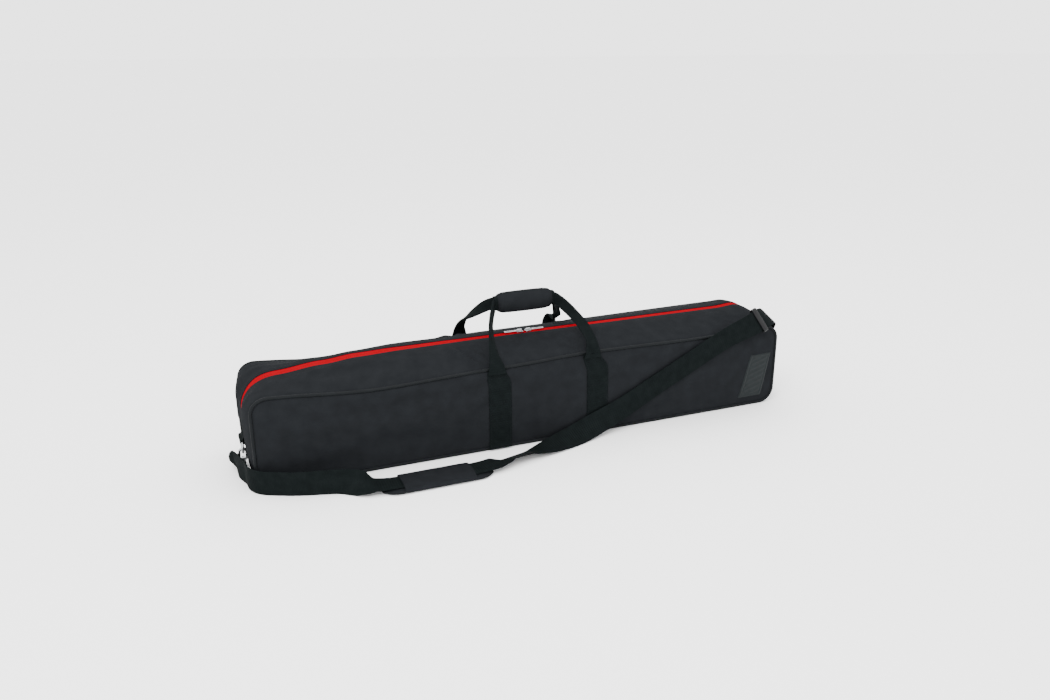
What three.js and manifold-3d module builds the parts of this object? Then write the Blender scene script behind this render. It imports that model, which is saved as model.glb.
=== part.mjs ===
// Long padded carry case for a telescope tube, in millimetres, +Z up.
// X runs along the case, the front panel faces -Y, and the origin is the middle of its base.
import * as THREE from "three";
import { mergeVertices } from "three/addons/utils/BufferGeometryUtils.js";
import Module from "manifold-3d";

const wasm = await Module();
wasm.setup();

// Driving dimensions of the case body
const LENGTH = 1150;
const DEPTH = 216;
const HEIGHT = 190;
const CREST = 21;
const END_BULGE = 13;
const PANEL_RADIUS = 35;
const CREST_RADIUS = 75;
const GAP = 0.3;
const COVER = 2.5;
const FOAM = 6;
const LINING = 1;
const GUSSET = 3;
const PIPING_RADIUS = 3.5;
const FOLD_Z = 92;

// Zip, webbing and handles
const TAPE_WIDTH = 15;
const TAPE_THICKNESS = 1.2;
const COIL_RADIUS = 1.1;
const WEBBING_WIDTH = 48;
const WEBBING = 2.4;
const WEBBING_X = 109;
const FRONT_SHIFT = 12;
const LEFT_FOOT_SHIFT = 6;
const RIGHT_FOOT_SHIFT = -2;
const GRIP_LENGTH = 122;
const GRIP_Z = 280;
const GRIP_HALF_HEIGHT = 21;
const GRIP_HALF_DEPTH = 17;
const GRIP_WALL = 7;
const HANDLE_ROOT_Y = DEPTH / 2 + 4;
const HANDLE_ROOT_Z = HEIGHT + 3;
const FOOT_WIDTH = 44;
const FOLDED_WIDTH = 24;
const FOLDED_THICKNESS = 4.6;
const BAND_Y = 4.1;

// Rings, hooks and the shoulder strap
const RING_X = LENGTH / 2 + END_BULGE + 6.5;
const RING_Z = 66;
const RING_WIRE = 2.3;
const RING_WIDTH = 52;
const RING_DROP = 26;
const STRAP_WIDTH = 48;
const STRAP = 2.2;
const PAD_LENGTH = 216;
const PAD_WIDTH = 66;
const PAD_THICKNESS = 8;
const PAD_X = -258;
const PAD_Y = -192;

const HALF = LENGTH / 2;

const FABRIC = { color: 0x26292d, roughness: 0.85, metalness: 0 };
const WEB = { color: 0x1b1e1f, roughness: 0.8, metalness: 0 };
const TRIM = { color: 0x17191b, roughness: 0.6, metalness: 0 };
const FOAM_MATERIAL = { color: 0x55585c, roughness: 0.95, metalness: 0 };
const LINING_MATERIAL = { color: 0x3a3d42, roughness: 0.9, metalness: 0 };
const RED = { color: 0xc8202a, roughness: 0.7, metalness: 0 };
const METAL = { color: 0xc9ccd0, roughness: 0.25, metalness: 1 };
const PLASTIC = { color: 0x121315, roughness: 0.45, metalness: 0 };
const BOARD = { color: 0x2e2f31, roughness: 0.7, metalness: 0 };
const RUBBER = { color: 0x33363a, roughness: 0.6, metalness: 0 };

const part = new THREE.Group();

// Adds one named mesh, with its vertices merged and its faces turned outwards.
function add(name, geometry, look) {
  geometry.deleteAttribute("normal");
  geometry.deleteAttribute("uv");
  const merged = mergeVertices(geometry, 1e-4);
  if (signedVolume(merged) < 0) {
    flip(merged);
  }
  merged.computeVertexNormals();
  const mesh = new THREE.Mesh(merged, new THREE.MeshStandardMaterial(look));
  mesh.name = name;
  part.add(mesh);
  return mesh;
}

function signedVolume(geometry) {
  const position = geometry.attributes.position;
  const corner = [new THREE.Vector3(), new THREE.Vector3(), new THREE.Vector3()];
  let sum = 0;
  for (let i = 0; i < geometry.index.count; i += 3) {
    corner.forEach((v, k) => v.fromBufferAttribute(position, geometry.index.getX(i + k)));
    sum += corner[0].dot(corner[1].clone().cross(corner[2]));
  }
  return sum / 6;
}

function flip(geometry) {
  const index = geometry.index;
  for (let i = 0; i < index.count; i += 3) {
    const second = index.getX(i + 1);
    index.setX(i + 1, index.getX(i + 2));
    index.setX(i + 2, second);
  }
}

// A closed slab of nu x nv x nw cells, whose unit coordinates are placed by the function map.
function slab(nu, nv, nw, map) {
  const geometry = new THREE.BoxGeometry(1, 1, 1, nu, nv, nw);
  const position = geometry.attributes.position;
  const place = new THREE.Vector3();
  for (let i = 0; i < position.count; i += 1) {
    place.fromBufferAttribute(position, i).addScalar(0.5);
    const moved = map(place.x, place.y, place.z);
    position.setXYZ(i, moved.x, moved.y, moved.z);
  }
  return geometry;
}

function vec(x, y, z) {
  return new THREE.Vector3(x, y, z);
}

function lerp(a, b, t) {
  return a + (b - a) * t;
}

function box(x0, x1, y0, y1, z0, z1) {
  const geometry = new THREE.BoxGeometry(x1 - x0, y1 - y0, z1 - z0);
  geometry.translate((x0 + x1) / 2, (y0 + y1) / 2, (z0 + z1) / 2);
  return geometry;
}

// Booleans
function toSolid(geometry) {
  const bare = geometry.clone();
  bare.deleteAttribute("normal");
  bare.deleteAttribute("uv");
  const merged = mergeVertices(bare, 1e-4);
  return new wasm.Manifold(new wasm.Mesh({
    numProp: 3,
    vertProperties: new Float32Array(merged.attributes.position.array),
    triVerts: new Uint32Array(merged.index.array),
  }));
}

function fromSolid(solid) {
  const mesh = solid.getMesh();
  const geometry = new THREE.BufferGeometry();
  geometry.setAttribute("position", new THREE.BufferAttribute(new Float32Array(mesh.vertProperties), 3));
  geometry.setIndex(new THREE.BufferAttribute(new Uint32Array(mesh.triVerts), 1));
  return geometry;
}

function join(first, ...others) {
  return fromSolid(others.reduce((sum, next) => sum.add(toSolid(next)), toSolid(first)));
}

function cut(first, ...others) {
  return fromSolid(others.reduce((rest, next) => rest.subtract(toSolid(next)), toSolid(first)));
}

// Upside-down U outline of the upper case: left end, corner, top, corner, right end.
// station runs 0 to 1; each stretch takes a fixed share of it. Returns the point and its normal.
const STRETCHES = [0, 0.1, 0.35, 0.65, 0.9, 1];

function outline(station, half, low, top, radius) {
  const found = STRETCHES.findIndex((end, i) => i > 0 && station <= end + 1e-9);
  const t = (station - STRETCHES[found - 1]) / (STRETCHES[found] - STRETCHES[found - 1]);
  const centreZ = top - radius;
  const side = station < 0.5 ? -1 : 1;
  if (found === 1) {
    return { x: -half, z: lerp(low, centreZ, t), nx: -1, nz: 0 };
  }
  if (found === 3) {
    return { x: lerp(-half + radius, half - radius, t), z: top, nx: 0, nz: 1 };
  }
  if (found === 5) {
    return { x: half, z: lerp(centreZ, low, t), nx: 1, nz: 0 };
  }
  const angle = (side < 0 ? t : 1 - t) * (Math.PI / 2);
  const nx = side * Math.cos(angle);
  const nz = Math.sin(angle);
  return { x: side * (half - radius) + nx * radius, z: centreZ + nz * radius, nx, nz };
}

const OUTLINE_STEPS = 20;
const ZIP_LOW = FOLD_Z + GAP;
const GUSSET_EDGE = DEPTH / 2 - 2 * PIPING_RADIUS - GAP;

// Point of the upper gusset's outer face at a station and a distance y from the zip line, sunk inwards.
function crown(station, y, sink) {
  const edge = outline(station, HALF, ZIP_LOW, HEIGHT, PANEL_RADIUS);
  const crest = outline(station, HALF + END_BULGE, ZIP_LOW, HEIGHT + CREST, CREST_RADIUS);
  const rise = Math.cos((Math.PI / 2) * Math.min(1, Math.abs(y) / GUSSET_EDGE));
  return vec(
    lerp(edge.x, crest.x, rise) - edge.nx * sink,
    y,
    lerp(edge.z, crest.z, rise) - edge.nz * sink,
  );
}

function crownBand(y0, y1, sink, thickness, across) {
  return slab(OUTLINE_STEPS, across, 1, (u, v, w) => crown(u, lerp(y0, y1, v), sink + thickness * w));
}

// Panel outline in X-Z, from low to high, with its upper and lower corners rounded where asked.
function panelShape(inset, low, high, roundTop, roundBottom) {
  const half = HALF - inset;
  const r = PANEL_RADIUS - inset;
  const shape = new THREE.Shape();
  shape.moveTo(-half, roundBottom ? low + r : low);
  shape.lineTo(-half, roundTop ? high - r : high);
  if (roundTop) {
    shape.absarc(-half + r, high - r, r, Math.PI, Math.PI / 2, true);
    shape.absarc(half - r, high - r, r, Math.PI / 2, 0, true);
  } else {
    shape.lineTo(half, high);
  }
  if (roundBottom) {
    shape.absarc(half - r, low + r, r, 0, -Math.PI / 2, true);
    shape.absarc(-half + r, low + r, r, -Math.PI / 2, -Math.PI, true);
  } else {
    shape.lineTo(half, low);
    shape.lineTo(-half, low);
  }
  return shape;
}

// Panel plate between y0 and y1
function plate(shape, y0, y1) {
  const depth = Math.abs(y1 - y0);
  const geometry = new THREE.ExtrudeGeometry(shape, { depth, bevelEnabled: false, curveSegments: 6 });
  geometry.rotateX(Math.PI / 2);
  geometry.translate(0, Math.max(y0, y1), 0);
  return geometry;
}

function tube(points, radius, sides, steps, closed = false) {
  const path = new THREE.CatmullRomCurve3(points, closed, "centripetal");
  const section = new THREE.Shape();
  for (let i = 0; i < sides; i += 1) {
    const angle = (2 * Math.PI * i) / sides;
    const corner = [radius * Math.cos(angle), radius * Math.sin(angle)];
    if (i === 0) {
      section.moveTo(...corner);
    } else {
      section.lineTo(...corner);
    }
  }
  return new THREE.ExtrudeGeometry(section, { steps, extrudePath: path, bevelEnabled: false });
}

// Where a ribbon's middle is at u from 0 to 1, with its directions along, across and off its face.
// Where its lower edge would dip under the floor, the ribbon is lifted to rest there.
function ribbonFrame(knots, u, floor = -Infinity) {
  const curve = new THREE.CatmullRomCurve3(knots.map((k) => vec(...k.at)), false, "centripetal");
  const last = knots.length - 1;
  const place = Math.min(u * last, last - 1e-6);
  const i = Math.floor(place);
  const t = place - i;
  const centre = curve.getPoint(u);
  const along = curve.getTangent(u);
  const across = vec(...knots[i].wide).lerp(vec(...knots[i + 1].wide), t);
  across.addScaledVector(along, -across.dot(along)).normalize();
  const normal = along.clone().cross(across);
  const width = lerp(knots[i].width, knots[i + 1].width, t);
  const thick = lerp(knots[i].thick, knots[i + 1].thick, t);
  const lowest = centre.z - (Math.abs(across.z) * width + Math.abs(normal.z) * thick) / 2;
  centre.z += Math.max(0, floor - lowest);
  return { centre, along, across, normal, width, thick };
}

function ribbon(knots, steps, floor) {
  const frames = Array.from({ length: steps + 1 }, (_, i) => ribbonFrame(knots, i / steps, floor));
  return slab(steps, 2, 1, (u, v, w) => {
    const { centre, across, normal, width, thick } = frames[Math.round(u * steps)];
    return centre.clone()
      .addScaledVector(across, (v - 0.5) * width)
      .addScaledVector(normal, (w - 0.5) * thick);
  });
}

// ---- Padded panels: cover, foam and lining, upper lid part and lower case part ----
const COVER_INSET = 2 * PIPING_RADIUS + 5 * GAP;
const PANEL_LOW = COVER_INSET + 2 * GAP;
const PANEL_HIGH = HEIGHT - COVER_INSET;

function layers(side) {
  const face = side * (DEPTH / 2);
  const foamFace = face - side * (COVER + GAP);
  const liningFace = foamFace - side * (FOAM + GAP);
  return [
    ["panel", face, face - side * COVER, FABRIC],
    ["foam", foamFace, foamFace - side * FOAM, FOAM_MATERIAL],
    ["lining", liningFace, liningFace - side * LINING, LINING_MATERIAL],
  ];
}

for (const [piece, y0, y1, look] of layers(1)) {
  add(`back_${piece}`, plate(panelShape(COVER_INSET, PANEL_LOW, PANEL_HIGH, true, true), y0, y1), look);
}
for (const [piece, y0, y1, look] of layers(-1)) {
  const upper = panelShape(COVER_INSET, FOLD_Z + GAP, PANEL_HIGH, true, false);
  const lower = panelShape(COVER_INSET, PANEL_LOW, FOLD_Z, false, true);
  add(`front_${piece}_upper`, plate(upper, y0, y1), look);
  add(`front_${piece}_lower`, plate(lower, y0, y1), look);
}

// ---- Piping around both panels ----
const PIPE_Y = DEPTH / 2 - PIPING_RADIUS;
const PIPE_INSET = PIPING_RADIUS;
const PIPE_LOW = PIPING_RADIUS + 0.8;
const PIPE_SIDES = 6;

function pipePoints(from, to, count, y) {
  const points = [];
  for (let i = 0; i <= count; i += 1) {
    const station = lerp(from, to, i / count);
    const p = outline(
      station, HALF - PIPE_INSET, FOLD_Z + GAP, HEIGHT - PIPE_INSET, PANEL_RADIUS - PIPE_INSET,
    );
    points.push(vec(p.x, y, p.z));
  }
  return points;
}

function lowerPipePoints(y, top) {
  const half = HALF - PIPE_INSET;
  const r = PANEL_RADIUS - PIPE_INSET;
  const points = [vec(-half, y, top), vec(-half, y, (top + PIPE_LOW + r) / 2)];
  for (let i = 0; i <= 6; i += 1) {
    const angle = Math.PI + (Math.PI / 12) * i;
    points.push(vec(-half + r + r * Math.cos(angle), y, PIPE_LOW + r + r * Math.sin(angle)));
  }
  const mirrored = points.map((p) => vec(-p.x, p.y, p.z)).reverse();
  return [...points, vec(-half / 3, y, PIPE_LOW), vec(half / 3, y, PIPE_LOW), ...mirrored];
}

add("front_piping_upper", tube(pipePoints(0, 1, 40, -PIPE_Y), PIPING_RADIUS, PIPE_SIDES, 60), TRIM);
add("front_piping_lower", tube(lowerPipePoints(-PIPE_Y, FOLD_Z), PIPING_RADIUS, PIPE_SIDES, 60), TRIM);
add("rear_piping_upper", tube(pipePoints(0, 1, 40, PIPE_Y), PIPING_RADIUS, PIPE_SIDES, 60), TRIM);
add("rear_piping_lower", tube(lowerPipePoints(PIPE_Y, FOLD_Z), PIPING_RADIUS, PIPE_SIDES, 60), TRIM);

// ---- Upper gusset in two halves, with the zip between them ----
const TAPE_EDGE = TAPE_WIDTH + GAP;
const UNDER_TAPE = TAPE_THICKNESS + GAP;
const LINING_EDGE = GUSSET_EDGE - 4;

for (const [name, side] of [["front", -1], ["rear", 1]]) {
  add(`${name}_zip_gusset`, crownBand(side * GUSSET_EDGE, side * (TAPE_EDGE + GAP), 0, GUSSET, 4), FABRIC);
  add(`${name}_gusset_lining`,
    crownBand(side * LINING_EDGE, side * (TAPE_EDGE + GAP), GUSSET + GAP, LINING, 4), LINING_MATERIAL);
  add(`${name}_zip_tape`, crownBand(side * TAPE_EDGE, side * GAP, 0, TAPE_THICKNESS, 1), RED);
  const coil = [];
  for (let i = 0; i <= 40; i += 1) {
    coil.push(crown(i / 40, side * (COIL_RADIUS + GAP), UNDER_TAPE + COIL_RADIUS));
  }
  add(`${name}_zip_coil`, tube(coil, COIL_RADIUS, 6, 60), PLASTIC);
}

// ---- Lower gusset: one strip up the left end, under the case and up the right end ----
const LOWER_STEPS = 24;
const LOWER_SHARE = [0, 0.15, 0.4, 0.6, 0.85, 1];

// Bulge of the ends at height z and distance y from the middle
function endBulge(y, z) {
  const rise = Math.cos((Math.PI / 2) * Math.min(1, Math.abs(y) / GUSSET_EDGE));
  const climb = Math.sin((Math.PI / 2) * Math.min(1, Math.max(0, z / FOLD_Z)));
  return END_BULGE * rise * climb;
}

function lowerStrip(station, y, sink, top) {
  const found = LOWER_SHARE.findIndex((end, i) => i > 0 && station <= end + 1e-9);
  const t = (station - LOWER_SHARE[found - 1]) / (LOWER_SHARE[found] - LOWER_SHARE[found - 1]);
  const r = PANEL_RADIUS;
  const side = station < 0.5 ? -1 : 1;
  if (found === 3) {
    return vec(lerp(-HALF + r, HALF - r, t), y, sink);
  }
  const drop = side < 0 ? t : 1 - t;
  if (found === 1 || found === 5) {
    const z = lerp(top, r, drop);
    return vec(side * (HALF - sink + endBulge(y, z)), y, z);
  }
  const angle = drop * (Math.PI / 2);
  const z = r - (r - sink) * Math.sin(angle);
  return vec(side * (HALF - r + (r - sink) * Math.cos(angle) + endBulge(y, z) * Math.cos(angle)), y, z);
}

function lowerBand(edge, sink, thickness) {
  return slab(LOWER_STEPS, 8, 1, (u, v, w) => (
    lowerStrip(u, lerp(-edge, edge, v), sink + thickness * w, FOLD_Z)));
}

add("bottom_gusset", lowerBand(GUSSET_EDGE, 0, GUSSET), FABRIC);
add("bottom_lining", lowerBand(LINING_EDGE, GUSSET + 3 * GAP, LINING), LINING_MATERIAL);
const BOARD_Z = GUSSET + LINING + 6 * GAP;
const BOARD_THICKNESS = 3;
const BOARD_X = HALF - 45;
const BOARD_Y = 90;
add("base_board",
  box(-BOARD_X, BOARD_X, -BOARD_Y, BOARD_Y, BOARD_Z, BOARD_Z + BOARD_THICKNESS), BOARD);

// ---- Webbing sewn up the panels ----
const WEB_FACE = DEPTH / 2 + GAP;
const WEB_LOW = 4;
const WEB_HIGH = HEIGHT - 2;

for (const [name, side] of [["left", -1], ["right", 1]]) {
  const x0 = side * WEBBING_X - WEBBING_WIDTH / 2;
  const x1 = side * WEBBING_X + WEBBING_WIDTH / 2;
  const shifted = [x0 + FRONT_SHIFT, x1 + FRONT_SHIFT];
  const front = [-WEB_FACE - WEBBING, -WEB_FACE];
  add(`front_webbing_${name}_upper`, box(...shifted, ...front, FOLD_Z + GAP, WEB_HIGH), WEB);
  add(`front_webbing_${name}_lower`, box(...shifted, ...front, WEB_LOW, FOLD_Z), WEB);
  add(`rear_webbing_${name}`, box(x0, x1, WEB_FACE, WEB_FACE + WEBBING, WEB_LOW, WEB_HIGH), WEB);
}

// ---- Carry handles: a flat band at each foot, folded double in the grip ----
// slack(sign) is how far the band sags beside the foot on that side.
const REAR_SLACK = 18;
const HANDLE_STEPS = 52;

function handleKnots(side, slack) {
  const frontShift = (sign) => (sign < 0 ? LEFT_FOOT_SHIFT : RIGHT_FOOT_SHIFT);
  const shift = (sign) => (side < 0 ? frontShift(sign) : 0);
  const foot = (sign) => [
    { at: [sign * WEBBING_X + shift(sign), side * HANDLE_ROOT_Y, HANDLE_ROOT_Z],
      wide: [1, 0, 0], width: FOOT_WIDTH, thick: WEBBING },
    { at: [sign * (WEBBING_X + 1) + shift(sign), side * 104, 208], wide: [1, 0, 0.1], width: 28, thick: 3.6 },
    { at: [sign * (WEBBING_X - 2) + shift(sign), side * (80 - slack(sign) / 2), 229 - slack(sign)],
      wide: [0.9, 0, 0.5], width: FOLDED_WIDTH, thick: FOLDED_THICKNESS },
    { at: [sign * (WEBBING_X - 14) + shift(sign) * 0.8, side * 46, 252 - slack(sign)],
      wide: [0.5, 0, 0.9], width: FOLDED_WIDTH, thick: FOLDED_THICKNESS },
    { at: [sign * (WEBBING_X - 32) + shift(sign) * 0.5, side * 16, 273 - slack(sign) / 3],
      wide: [0.1, 0, 1], width: FOLDED_WIDTH, thick: FOLDED_THICKNESS },
  ];
  const grip = [-1, -0.33, 0.33, 1].map((share) => ({
    at: [share * (GRIP_LENGTH / 2 + 4), side * BAND_Y, GRIP_Z], wide: [0, 0, 1],
    width: FOLDED_WIDTH, thick: FOLDED_THICKNESS,
  }));
  return [...foot(-1), ...grip, ...foot(1).reverse()];
}

add("front_handle", ribbon(handleKnots(-1, () => 0), HANDLE_STEPS), WEB);
add("rear_handle", ribbon(handleKnots(1, (sign) => (sign > 0 ? REAR_SLACK : 0)), HANDLE_STEPS), WEB);

// ---- Grip: a padded wrap open to the rear, closed by its hook-and-loop flap ----
function gripShape(side) {
  const innerHigh = GRIP_HALF_HEIGHT - GRIP_WALL;
  const innerDeep = BAND_Y + FOLDED_THICKNESS / 2 + GAP;
  const shape = new THREE.Shape();
  const start = GAP / 2;
  shape.moveTo(side * start, GRIP_HALF_HEIGHT);
  for (let i = 1; i < 12; i += 1) {
    const angle = Math.PI / 2 - (Math.PI * i) / 12;
    shape.lineTo(side * (start + GRIP_HALF_DEPTH * Math.cos(angle)), GRIP_HALF_HEIGHT * Math.sin(angle));
  }
  shape.lineTo(side * start, -GRIP_HALF_HEIGHT);
  shape.lineTo(side * start, -innerHigh);
  shape.lineTo(side * innerDeep, -innerHigh);
  shape.lineTo(side * innerDeep, innerHigh);
  shape.lineTo(side * start, innerHigh);
  return shape;
}

// Extrudes a section drawn in Y-Z along X, centred on the origin
function alongX(shape, length) {
  const geometry = new THREE.ExtrudeGeometry(shape, { depth: length, bevelEnabled: false });
  geometry.applyMatrix4(new THREE.Matrix4().makeBasis(vec(0, 1, 0), vec(0, 0, 1), vec(1, 0, 0)));
  geometry.translate(-length / 2, 0, 0);
  return geometry;
}

for (const [name, side] of [["grip_wrap", -1], ["grip_flap", 1]]) {
  add(name, alongX(gripShape(side), GRIP_LENGTH), FABRIC).position.set(0, 0, GRIP_Z);
}

// ---- Zip sliders and their pulls ----
const SLIDER_Z = HEIGHT + CREST + GAP;
const SLIDER_LENGTH = 14;
const SLIDER_WIDTH = 11;
const SLIDER_X = 3;
const SLIDER_PLATE = 2;
const SLIDER_TAPER = 2.2;
const BRIDGE_WIDTH = 4;
const BRIDGE_HEIGHT = 6;
const BRIDGE_ENDS = [1.2, 12.8];
const PULL_LENGTH = 33;
const PULL_WIDTH = 7;
const PULL_THICKNESS = 1.6;
const PULL_X = SLIDER_X + 8.8;
const PULL_Z = SLIDER_Z + 3.3;

// Slider on the outside of the tapes: a tapered plate with a bridge over it, towards +X.
function sliderGeometry() {
  const outlineShape = new THREE.Shape();
  outlineShape.moveTo(0, -SLIDER_WIDTH / 2);
  outlineShape.lineTo(SLIDER_LENGTH * 0.55, -SLIDER_WIDTH / 2);
  outlineShape.lineTo(SLIDER_LENGTH, -SLIDER_WIDTH / 2 + SLIDER_TAPER);
  outlineShape.lineTo(SLIDER_LENGTH, SLIDER_WIDTH / 2 - SLIDER_TAPER);
  outlineShape.lineTo(SLIDER_LENGTH * 0.55, SLIDER_WIDTH / 2);
  outlineShape.lineTo(0, SLIDER_WIDTH / 2);
  const flat = new THREE.ExtrudeGeometry(outlineShape, { depth: SLIDER_PLATE, bevelEnabled: false });
  const [start, end] = BRIDGE_ENDS;
  const wall = 1.6;
  const bridge = new THREE.Shape();
  bridge.moveTo(start, SLIDER_PLATE / 2);
  bridge.lineTo(start, BRIDGE_HEIGHT - 1.5);
  bridge.lineTo(start + 1.8, BRIDGE_HEIGHT);
  bridge.lineTo(end - 1.8, BRIDGE_HEIGHT);
  bridge.lineTo(end, BRIDGE_HEIGHT - 1.5);
  bridge.lineTo(end, SLIDER_PLATE / 2);
  const arch = new THREE.ExtrudeGeometry(bridge, { depth: BRIDGE_WIDTH, bevelEnabled: false });
  arch.rotateX(Math.PI / 2);
  arch.translate(0, BRIDGE_WIDTH / 2, 0);
  const window = box(
    start + wall, end - wall, -SLIDER_WIDTH, SLIDER_WIDTH, SLIDER_PLATE - 0.1, BRIDGE_HEIGHT - 1.3,
  );
  return cut(join(flat, arch), window);
}

// Pull bar with its own loop round the bridge at the inner end and a slot near the outer end
function pullGeometry() {
  const half = PULL_THICKNESS / 2;
  const bar = box(0, PULL_LENGTH, -PULL_WIDTH / 2, PULL_WIDTH / 2, -half, half);
  const loopHole = box(1.8, 6.6, -2.4, 2.4, -2, 2);
  const slot = box(PULL_LENGTH - 12, PULL_LENGTH - 4, -1.6, 1.6, -2, 2);
  return cut(bar, loopHole, slot);
}

for (const [name, side] of [["left", -1], ["right", 1]]) {
  const slider = add(`${name}_slider`, sliderGeometry(), METAL);
  const pull = add(`${name}_pull`, pullGeometry(), METAL);
  slider.position.set(side * SLIDER_X, 0, SLIDER_Z);
  pull.position.set(side * PULL_X, 0, PULL_Z);
  if (side < 0) {
    slider.rotation.z = Math.PI;
    pull.rotation.z = Math.PI;
  }
}

// ---- Zip end patches, ring tabs and D-rings on both ends ----
const END_X = HALF + END_BULGE;
const TAB_HALF = 20;
const TAB_TOP = 86;
const TAB_LOOP = RING_WIRE + GAP;
const TAB_WALL = 1.4;
const ZIP_END_HALF = 17;
const ZIP_END_THICKNESS = 1.4;

// Tab folded round the straight bar of the ring: a flat patch with a loop at its lower edge
function tabGeometry() {
  const patch = box(END_X + GAP, END_X + GAP + WEBBING, -TAB_HALF, TAB_HALF, RING_Z, TAB_TOP);
  const neck = box(END_X + GAP, RING_X, -TAB_HALF, TAB_HALF, RING_Z, RING_Z + TAB_LOOP + TAB_WALL);
  const loop = new THREE.CylinderGeometry(TAB_LOOP + TAB_WALL, TAB_LOOP + TAB_WALL, 2 * TAB_HALF, 20);
  const hole = new THREE.CylinderGeometry(TAB_LOOP, TAB_LOOP, 3 * TAB_HALF, 20);
  loop.translate(RING_X, 0, RING_Z);
  hole.translate(RING_X, 0, RING_Z);
  return cut(join(patch, neck, loop), hole);
}

// Ring in the Y-Z plane: straight bar on the origin, round part hanging below it
function ringPoints() {
  const half = RING_WIDTH / 2;
  const corner = 5;
  const points = [vec(0, 0, 0), vec(0, half - corner, 0), vec(0, half - 1.2, -1.2), vec(0, half, -corner)];
  for (let i = 1; i < 8; i += 1) {
    const angle = (Math.PI * i) / 8;
    points.push(vec(0, half * Math.cos(angle), -corner - (RING_DROP - corner) * Math.sin(angle)));
  }
  points.push(vec(0, -half, -corner), vec(0, -half + 1.2, -1.2), vec(0, -half + corner, 0));
  return points;
}

// ---- Snap hooks: body, sprung gate and swivel eye, drawn in X-Z with the gate towards +X ----
const HOOK_CENTRE = RING_Z - RING_DROP - 1.3;
const HOOK_OUTER = 8.5;
const HOOK_INNER = 4.3;
const HOOK_THICK = 6;
const HOOK_BASE = 17.3;
const SHOULDER_Z = 27;
const GATE_FOOT = 1.75;
const GATE_X = HOOK_OUTER - GAP - GATE_FOOT;
const GATE_Z = SHOULDER_Z + GAP + GATE_FOOT;
const EYE_WIDTH = 60;
const EYE_WIRE = 2.1;
const EYE_LOW = 7.5;
const EYE_HIGH = 14.7;
const COLLAR_RADIUS = 4.5;

function alongY(shape, width) {
  const geometry = new THREE.ExtrudeGeometry(shape, { depth: width, bevelEnabled: false, curveSegments: 10 });
  geometry.rotateX(Math.PI / 2);
  geometry.translate(0, width / 2, 0);
  return geometry;
}

function hookGeometry() {
  const shape = new THREE.Shape();
  shape.moveTo(-3.6, HOOK_BASE);
  shape.lineTo(3.6, HOOK_BASE);
  shape.lineTo(4.2, 21);
  shape.lineTo(HOOK_OUTER, 24);
  shape.lineTo(HOOK_OUTER, SHOULDER_Z);
  shape.lineTo(-HOOK_INNER, SHOULDER_Z);
  shape.lineTo(-HOOK_INNER, HOOK_CENTRE);
  shape.absarc(0, HOOK_CENTRE, HOOK_INNER, Math.PI, 0, true);
  shape.lineTo(HOOK_OUTER, HOOK_CENTRE);
  shape.absarc(0, HOOK_CENTRE, HOOK_OUTER, 0, Math.PI, false);
  shape.lineTo(-HOOK_OUTER, 24);
  shape.lineTo(-4.2, 21);
  return alongY(shape, HOOK_THICK);
}

// Gate bar with a thumb lever, pivoting at its foot and closing against the hook's tip
function gateGeometry() {
  const shape = new THREE.Shape();
  shape.moveTo(GATE_X - GATE_FOOT, GATE_Z);
  shape.absarc(GATE_X, GATE_Z, GATE_FOOT, Math.PI, 2 * Math.PI, false);
  shape.lineTo(HOOK_OUTER - GAP, 30);
  shape.lineTo(HOOK_OUTER + 3, 33);
  shape.lineTo(HOOK_OUTER + 3, 35.5);
  shape.lineTo(HOOK_OUTER - GAP, 36);
  shape.lineTo(HOOK_OUTER - GAP, HOOK_CENTRE - GAP);
  shape.lineTo(GATE_X - GATE_FOOT, HOOK_CENTRE - GAP);
  return alongY(shape, HOOK_THICK - 1);
}

function eyeGeometry() {
  const half = EYE_WIDTH / 2;
  const points = [
    vec(0, 0, EYE_LOW), vec(0, half - 5, EYE_LOW), vec(0, half - 2, EYE_LOW), vec(0, half, EYE_LOW + 2),
    vec(0, half, EYE_HIGH - 2), vec(0, half - 2, EYE_HIGH), vec(0, half - 5, EYE_HIGH), vec(0, 0, EYE_HIGH),
    vec(0, -half + 5, EYE_HIGH), vec(0, -half + 2, EYE_HIGH), vec(0, -half, EYE_HIGH - 2),
    vec(0, -half, EYE_LOW + 2), vec(0, -half + 2, EYE_LOW), vec(0, -half + 5, EYE_LOW),
  ];
  const collar = new THREE.CylinderGeometry(COLLAR_RADIUS, COLLAR_RADIUS, HOOK_BASE - GAP - EYE_HIGH, 16);
  collar.rotateX(Math.PI / 2);
  collar.translate(0, 0, (EYE_HIGH + HOOK_BASE - GAP) / 2);
  return join(tube(points, EYE_WIRE, 8, 40, true), collar);
}

// Sewn end of the strap, closed round the lower bar of the swivel eye
function strapLoopGeometry() {
  const outer = EYE_WIRE + GAP + STRAP;
  const loop = new THREE.CylinderGeometry(outer, outer, STRAP_WIDTH, 20);
  const hole = new THREE.CylinderGeometry(EYE_WIRE + GAP, EYE_WIRE + GAP, STRAP_WIDTH + 2, 20);
  return cut(loop, hole).translate(0, 0, EYE_LOW);
}

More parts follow.
